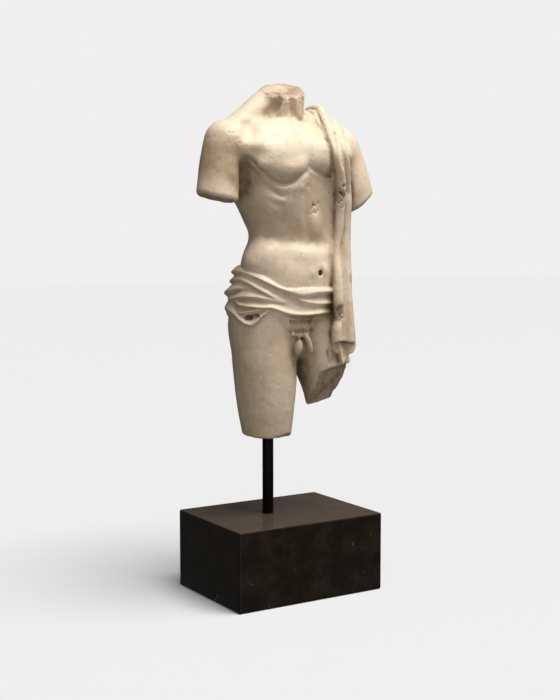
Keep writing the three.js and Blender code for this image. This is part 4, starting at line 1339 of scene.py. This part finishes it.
    grooves: tuple[tuple[float, float, tuple[Point, ...]], ...] = (
        (1.5, 2.0, ((44, 0, 523), (43.5, -9, 514.5), (41.5, -18, 505.5), (36, -34, 492.5),
          (31, -48, 482), (31, -52, 471),
                    (33.8, -50.5, 461), (36.5, -47.5, 450), (38.2, -44.5, 435), (39.8, -41.5, 414),
                    (39.5, -40.5, 392.5),
                    (37.2, -42, 371), (35.5, -46, 350), (36, -49, 335))),
        (1.5, 2.2, ((54, -17, 507), (51, -26, 499), (47.5, -36, 492), (43.5, -46, 484),
          (41, -53, 475.5), (42.5, -54, 467), (46, -52, 459))),
        (1.8, 2.4, ((68.5, -14, 505), (64, -26, 496.5), (63.5, -33, 489), (60, -42, 480),
          (61, -44, 470.5), (66, -39, 462),
                    (69, -35, 455), (70.5, -33, 441), (71, -31, 425))),
        (1.3, 3.0, ((57.5, -46, 441.5), (57, -45, 430), (55.5, -44, 419), (54.6, -43, 408.5),
          (53.4, -42.6, 392.5), (51, -43, 386),
                    (49.4, -44, 379), (48.6, -44, 371.5), (49, -44.5, 364), (50.4, -45.5, 355.5),
                    (51, -46.5, 348), (50.8, -48, 334),
                    (50.3, -49, 318), (50.3, -49, 296.5), (50.3, -49, 277.5))),
    )
    tail: tuple[Span, ...] = (
        (56, 282), (54.5, 266.5), (58.5, 261.5), (62.5, 258), (64.5, 251), (66.5, 248.5), (70.5, 251),
        (74.5, 258.5),
        (78, 261.5), (81.5, 263), (83, 268), (80, 282),
    )
    tail_pleats: tuple[Row, ...] = (
        (52, -5), (57, -8), (61, -7.5), (65.5, -10), (68.5, -5.5), (73, -1), (78, -0.5), (84, 3),
    )
    under_hem: tuple[Span, ...] = (
        (50, 262), (53.6, 267), (56, 270), (60, 272.8), (64, 273.6), (70, 273), (76, 272), (84.5, 271),
        (88, 262), (84, 240), (54, 240),
    )
    tail_across: Point = (0.8474, -0.531, 0.0)
    under_hem_depth: tuple[Row, ...] = ((50, -20), (61, -24), (70, -17), (78, -14), (86, -11))
    sac: tuple[tuple[Point, Point, Point], ...] = (
        ((-0.2, -36, 269.5), (5.2, 7, 9.6), (0, 4, 0)), ((6.3, -33, 271), (4.6, 7, 8.4), (0, 0, 0)),
    )
    member: tuple[Row, ...] = (
        (5.8, -41.5, 281.5, 3.2), (7.6, -43.6, 277, 3.1), (9.8, -43.8, 270.5, 3), (12, -43, 264.5, 2.2),
    )
    mound: tuple[Point, Point, Point] = ((1, -36, 290.5), (17, 8.5, 9.5), (0, 0, 0))
    locks: int = 7
    lock_spread: float = 25.0
    lock_top: float = 297
    lock_line: Span = (1.3, 3.0)
    curl_line: Span = (0.9, 1.8)
    curl: Point = (2.6, 3.2, 2.8)

    def shape_body(self) -> None:
        """Build up the trunk, neck, arms and thighs."""
        b = self.body
        b.add(Loft(TRUNK, TRUNK_CAP), 0)
        b.add(Rope(self.shoulder_line), 8)
        b.add(Broken(Rope(self.right_trapezius), self.neck_loss, 3), 6)
        b.add(Rope(self.left_trapezius), 6)
        for centre, radii in self.shoulders:
            b.add(Mass(centre, radii), 8)
        b.add(self.keep(Loft(self.neck, 2), self.neck_loss, 3), 5)
        b.add(self.keep(Rope(self.right_arm), self.right_arm_loss, 6), 6)
        b.add(self.keep(Rope(self.left_arm), self.left_arm_loss, 4.5), 6)
        for centre, radii, turn, blend in self.masses:
            b.add(Mass(centre, radii, turn), blend)
        for rows in self.breast_edges:
            b.add(Rope(rows), 3)
        b.add(Rope(self.side_of_belly), 12)
        b.add(self.keep(Loft(self.right_thigh, 8), self.right_leg_loss, 3), 8)
        b.add(self.keep(Loft(self.left_thigh, 8), self.left_leg_loss, 2), 8)

    def keep(self, form: Form, losses: Sequence[Sequence[Face]], edge: float) -> Broken:
        """Break a form and remember it for the finish of its broken faces.

        Args:
            form: The whole form.
            losses: Groups of broken faces.
            edge: Wear of the edges in mm.

        Returns:
            The broken form.
        """
        self.broken.append(Broken(form, losses, edge))
        return self.broken[-1]

    def carve_body(self) -> None:
        """Carve the lines of the muscles, the ribs and the hollows."""
        b = self.body
        for width, depth, points in self.lines:
            b.carve(width, depth, points)
        for rows in self.neck_cords:
            b.add(Broken(Rope(rows), self.neck_loss, 3), 2)
        for rows in self.neck_hollows:
            b.cut(Rope(rows), 2.5)
        b.cut(Rope(self.armpit), 4)
        b.cut(Mass(*self.navel), 1.4)

    def on_mound(self, x: float, z: float) -> Point:
        """Give the place on the mound above the genitals.

        Args:
            x: Place across in mm.
            z: Height in mm.

        Returns:
            The place on its front.
        """
        centre, radii = self.mound[0], self.mound[1]
        rest = 1 - ((x - centre[0]) / radii[0]) ** 2 - ((z - centre[2]) / radii[2]) ** 2
        return (x, centre[1] + 0.7 - radii[1] * math.sqrt(max(rest, 0.2)), z)

    def carve_loins(self) -> None:
        """Carve the genitals and the locks above them."""
        b = self.body
        draw = np.random.default_rng(41)
        b.add(Mass(*self.mound), 3)
        middle = self.mound[0][0]
        for n in range(self.locks + 1):
            x = middle + self.lock_spread * (n / self.locks - 0.5)
            sway = draw.uniform(-1.0, 1.0, 3)
            low = 285 + draw.uniform(-1.5, 1.5)
            top = self.lock_top
            path = [(x, top), (x + sway[0], top - 3), (x + sway[1], top - 7), (x + sway[2], low)]
            path += [(x + 2.4, low - 2), (x + 3.6, low)]
            b.carve(*self.lock_line, [self.on_mound(*place) for place in path])
        for n in range(self.locks - 1):
            part = n / (self.locks - 2)
            x = middle + 0.74 * self.lock_spread * (part - 0.5)
            z = 281.5 + draw.uniform(-1, 1) + 2.5 * abs(part - 0.4)
            b.add(Mass((x, -39.2, z), self.curl), 0.8)
            hook = [(x - 1.3, -41.6, z + 0.8), (x + 0.2, -42, z + 1.3), (x + 1.2, -41.8, z)]
            b.carve(*self.curl_line, [*hook, (x + 0.2, -42, z - 0.6)])
        for centre, radii, turn in self.sac:
            b.add(Mass(centre, radii, turn), 0.8)
        b.add(Rope(self.member), 0.7)

    def lay_cloth(self) -> None:
        """Lay the cloth round the hips and the mantle over the shoulder."""
        b = self.body
        b.add(HipCloth(self.cloth_top, self.cloth_hem, self.folds, self.loop_pit), 0.8)
        for centre, radii, turn in self.loop_hollows:
            b.cut(Mass(centre, radii, turn), 1.0)
        for blend, rows in self.mantle:
            b.add(Rope(rows), blend)
        b.cut(Flap(self.under_hem, self.under_hem_depth, self.tail_across, 10.5), 0.8)
        b.add(Flap(self.tail, self.tail_pleats, self.tail_across, 3.0), 0.8)
        for width, depth, points in self.grooves:
            b.carve(width, depth, points)
        b.cut(Mass(*self.worn_end), 1.5)

    def masks(self, vertices: Array) -> dict[str, Array]:
        """Find hollows, broken faces, and stains with painted shade and painted light for the finish.

        Args:
            vertices: Vertices in mm.

        Returns:
            The masks by name.
        """
        hollow = np.zeros(len(vertices))
        for reach, start, steep, share in self.hollows:
            hollow += np.clip((self.body.fullness(vertices, reach) - start) * steep, 0, 1) * share
        broken = np.maximum.reduce([form.mask(vertices) for form in self.broken])
        # Spots darken and brown the marble, partly stains and mostly painted shade; negative spots paint
        # light.
        stain_and_painted_light = np.zeros(len(vertices))
        for centre, radius, strength in self.stains_and_painted_light:
            away = np.linalg.norm(vertices - np.asarray(centre), axis=1) / radius
            part = np.clip(self.spot_edge - away, 0, 1)
            stain_and_painted_light += strength * part * part * (3 - 2 * part)
        return {"hollow": np.clip(hollow, 0, 1), "broken": broken, "stain_and_painted_light": np.clip(stain_and_painted_light, -1, 1)}

    def build(self) -> tuple[Array, Array]:
        """Carve the block.

        Returns:
            Vertices in mm, and quads.
        """
        self.body = Block(self.low, self.high, self.step)
        self.shape_body()
        self.carve_body()
        self.carve_loins()
        self.lay_cloth()
        return self.body.skin()

    def thin(self, piece: bpy.types.Object) -> None:
        """Take faces out where the stone is smooth.

        Args:
            piece: The carved marble.
        """
        triangles = sum(len(polygon.vertices) - 2 for polygon in piece.data.polygons)
        if triangles <= self.most_triangles:
            return
        bpy.context.view_layer.objects.active = piece
        modifier = piece.modifiers.new("thin", "DECIMATE")
        modifier.ratio = self.most_triangles / triangles
        bpy.ops.object.modifier_apply(modifier=modifier.name)
        piece.data.polygons.foreach_set("use_smooth", np.ones(len(piece.data.polygons), bool))

    def weather(self, mesh: bpy.types.Mesh) -> None:
        """Wear the skin unevenly, with small pits in some places.

        Args:
            mesh: The skin.
        """
        flat = np.empty(len(mesh.vertices) * 3, np.float32)
        normal = np.empty_like(flat)
        mesh.vertices.foreach_get("co", flat)
        mesh.vertex_normals.foreach_get("vector", normal)
        skin = flat.reshape(-1, 3) / MM
        x, y, z = skin.T.astype(float)
        wear = self.wear_depth * Grain(21).rough(x, y, z, self.wear_grain)
        wear -= self.chip_depth * np.clip(Grain(22)(x, y, z, self.chip_grain) - self.chip_start, 0, 1)
        holes = np.clip((Grain(23)(x, y, z, self.hole_grain) - self.hole_start) * 2, 0, 1)
        for centre, radius, depth in self.pitted:
            away = np.linalg.norm(skin - np.asarray(centre), axis=1) / radius
            wear -= depth * holes * np.clip(self.pit_edge - away, 0, 1)
        worn = (skin + normal.reshape(-1, 3) * wear[:, None]) * MM
        mesh.vertices.foreach_set("co", worn.ravel().astype(np.float32))
        mesh.update()

    def dress(self, finish: WornMarble) -> bpy.types.Object:
        """Put the carved marble in the scene in place of its solid.

        Args:
            finish: The finish of the marble.

        Returns:
            The piece.
        """
        piece = mesh_piece("carved_marble", *self.build(), finish.make())
        self.weather(piece.data)
        self.thin(piece)
        places = np.empty(len(piece.data.vertices) * 3, np.float32)
        piece.data.vertices.foreach_get("co", places)
        for key, values in self.masks(places.reshape(-1, 3).astype(float) / MM).items():
            attribute = piece.data.attributes.new(key, "FLOAT", "POINT")
            attribute.data.foreach_set("value", values.astype(np.float32))
        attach(piece, "root")
        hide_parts("torso")
        return piece


@dataclass
class Stand:
    """The plinth and the rod, which keep their solids' shapes."""

    eased_edge: float = 2.2
    edge_segments: int = 4
    rod_sides: int = 64
    rod_chamfer: float = 0.6

    def plinth(self, finish: FleckedStone) -> bpy.types.Object:
        """Make the plinth with softly eased edges over its solid.

        Args:
            finish: Its finish.

        Returns:
            The piece.
        """
        low, high = (np.asarray(corner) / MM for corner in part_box("plinth"))
        bpy.ops.mesh.primitive_cube_add(size=1)
        piece = bpy.context.object
        piece.name = "polished_plinth"
        for vertex in piece.data.vertices:
            share = np.asarray(vertex.co) + 0.5
            vertex.co = Vector((low + share * (high - low)) * MM)
        bevel = piece.modifiers.new("eased_edges", "BEVEL")
        bevel.width = self.eased_edge * MM
        bevel.segments = self.edge_segments
        bpy.ops.object.modifier_apply(modifier=bevel.name)
        piece.data.materials.append(finish.make())
        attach(piece, "root")
        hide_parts("plinth")
        return piece

    def rod(self, finish: BlackSteel) -> bpy.types.Object:
        """Make the round rod over its solid.

        Args:
            finish: Its finish.

        Returns:
            The piece.
        """
        low, high = (np.asarray(corner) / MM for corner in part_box("rod"))
        centre, radius = (low + high) / 2, (high[0] - low[0]) / 2
        around, chamfer = self.rod_sides, self.rod_chamfer
        turn = np.arange(around) * 2 * math.pi / around
        lower = ((radius - chamfer, low[2]), (radius, low[2] + chamfer))
        upper = ((radius, high[2] - chamfer), (radius - chamfer, high[2]))
        rings = []
        for r, z in (*lower, *upper):
            x, y = centre[0] + r * np.cos(turn), centre[1] + r * np.sin(turn)
            rings.append(np.column_stack([x, y, np.full(around, z)]))
        vertices = np.vstack(rings)
        n = np.arange(around)
        m = (n + 1) % around
        quads = np.vstack([np.column_stack([n, m, m + around, n + around]) + k * around for k in range(3)])
        faces = [*quads.tolist(), n[::-1].tolist(), (n + 3 * around).tolist()]
        mesh = bpy.data.meshes.new("display_rod")
        mesh.from_pydata((vertices * MM).tolist(), [], faces)
        for polygon in mesh.polygons:
            polygon.use_smooth = len(polygon.vertices) == 4
        mesh.materials.append(finish.make())
        piece = bpy.data.objects.new("display_rod", mesh)
        bpy.context.scene.collection.objects.link(piece)
        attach(piece, "root")
        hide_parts("rod")
        return piece


@dataclass
class Studio:
    """Plain floor, soft light and the camera."""

    eye: Point = (-0.72856, -1.16317, 0.39463)
    look: Point = (0.52852, 0.84352, -0.09559)
    lens: float = 65.28
    tone: float = 0.866
    dim: float = 0.09
    sensor: float = 36.0
    floor_size: float = 14
    lamps: tuple[tuple[str, float, float, float, float, Point], ...] = (
        ("overhead", 60, 70, 38, 4.0, (1.0, 0.985, 0.95)),
        ("side", 95, 22, 60, 0.5, (1, 1, 1)),
        ("front", 5, 16, 60, 0.5, (1, 1, 1)),
        ("bounce", 0, -28, 90, 0.36, (1, 1, 1)),  # stands in for the light that the floor throws up
    )

    def camera(self) -> bpy.types.Object:
        """Place the camera.

        Returns:
            The camera.
        """
        data = bpy.data.cameras.new("camera")
        data.lens = self.lens
        data.sensor_width = self.sensor
        camera = bpy.data.objects.new("camera", data)
        camera.location = self.eye
        camera.rotation_euler = Vector(self.look).to_track_quat("-Z", "Y").to_euler()
        bpy.context.scene.collection.objects.link(camera)
        bpy.context.scene.camera = camera
        return camera

    def floor(self, finish: PalePaper) -> bpy.types.Object:
        """Lay the floor, which the camera sees but which throws no light back.

        Args:
            finish: Its finish.

        Returns:
            The floor.
        """
        bpy.ops.mesh.primitive_plane_add(size=self.floor_size)
        floor = bpy.context.object
        floor.name = "floor"
        floor.data.materials.append(finish.make())
        floor.visible_diffuse = False
        floor.visible_glossy = False
        floor.visible_shadow = False
        return floor

    def sun(self, name: str, turn: float, height: float, spread: float, power: float, tone: Point) -> None:
        """Hang a broad, far lamp.

        Args:
            name: Its name.
            turn: Degrees from the camera's side towards the camera's right.
            height: Degrees above the floor.
            spread: How broad it looks, in degrees.
            power: Its strength.
            tone: Its colour.
        """
        data = bpy.data.lights.new(name, "SUN")
        data.energy, data.angle, data.color = power, math.radians(spread), tone
        lamp = bpy.data.objects.new(name, data)
        level = Vector((self.look[0], self.look[1], 0)).normalized()
        aside = Vector((level.y, -level.x, 0))
        toward = aside * math.sin(math.radians(turn)) - level * math.cos(math.radians(turn))
        toward = toward * math.cos(math.radians(height)) + Vector((0, 0, math.sin(math.radians(height))))
        lamp.location = toward * 2
        lamp.rotation_euler = toward.to_track_quat("Z", "Y").to_euler()
        bpy.context.scene.collection.objects.link(lamp)

    def room(self) -> bpy.types.World:
        """Make the room: dim for the light it gives, pale where the camera looks past the floor.

        Returns:
            The room.
        """
        world = bpy.data.worlds.new("room")
        world.use_nodes = True
        tree = world.node_tree
        background = tree.nodes["Background"]
        background.inputs[0].default_value = (1, 1, 1, 1)
        path = tree.nodes.new("ShaderNodeLightPath")
        level = tree.nodes.new("ShaderNodeMapRange")
        tree.links.new(path.outputs["Is Camera Ray"], level.inputs[0])
        level.inputs[3].default_value, level.inputs[4].default_value = self.dim, self.tone
        tree.links.new(level.outputs[0], background.inputs[1])
        return world

    def light(self) -> None:
        """Light the scene softly from above and from the right."""
        bpy.context.scene.world = self.room()
        for lamp in self.lamps:
            self.sun(*lamp)
        view = bpy.context.scene.view_settings
        view.view_transform = "Standard"
        view.look = "None"


def main() -> None:
    """Build the pieces in order and note how many faces each finished piece has."""
    logging.basicConfig(level=logging.INFO, format="%(name)s: %(message)s")
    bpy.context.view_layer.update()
    studio = Studio()
    studio.camera()
    marble = Torso().dress(WornMarble())
    stand = Stand()
    pieces = [marble, stand.plinth(FleckedStone()), stand.rod(BlackSteel())]
    for piece in pieces:
        LOG.info("%s has %d faces", piece.name, len(piece.data.polygons))
    studio.floor(PalePaper())
    studio.light()


if __name__ == "__main__":
    main()
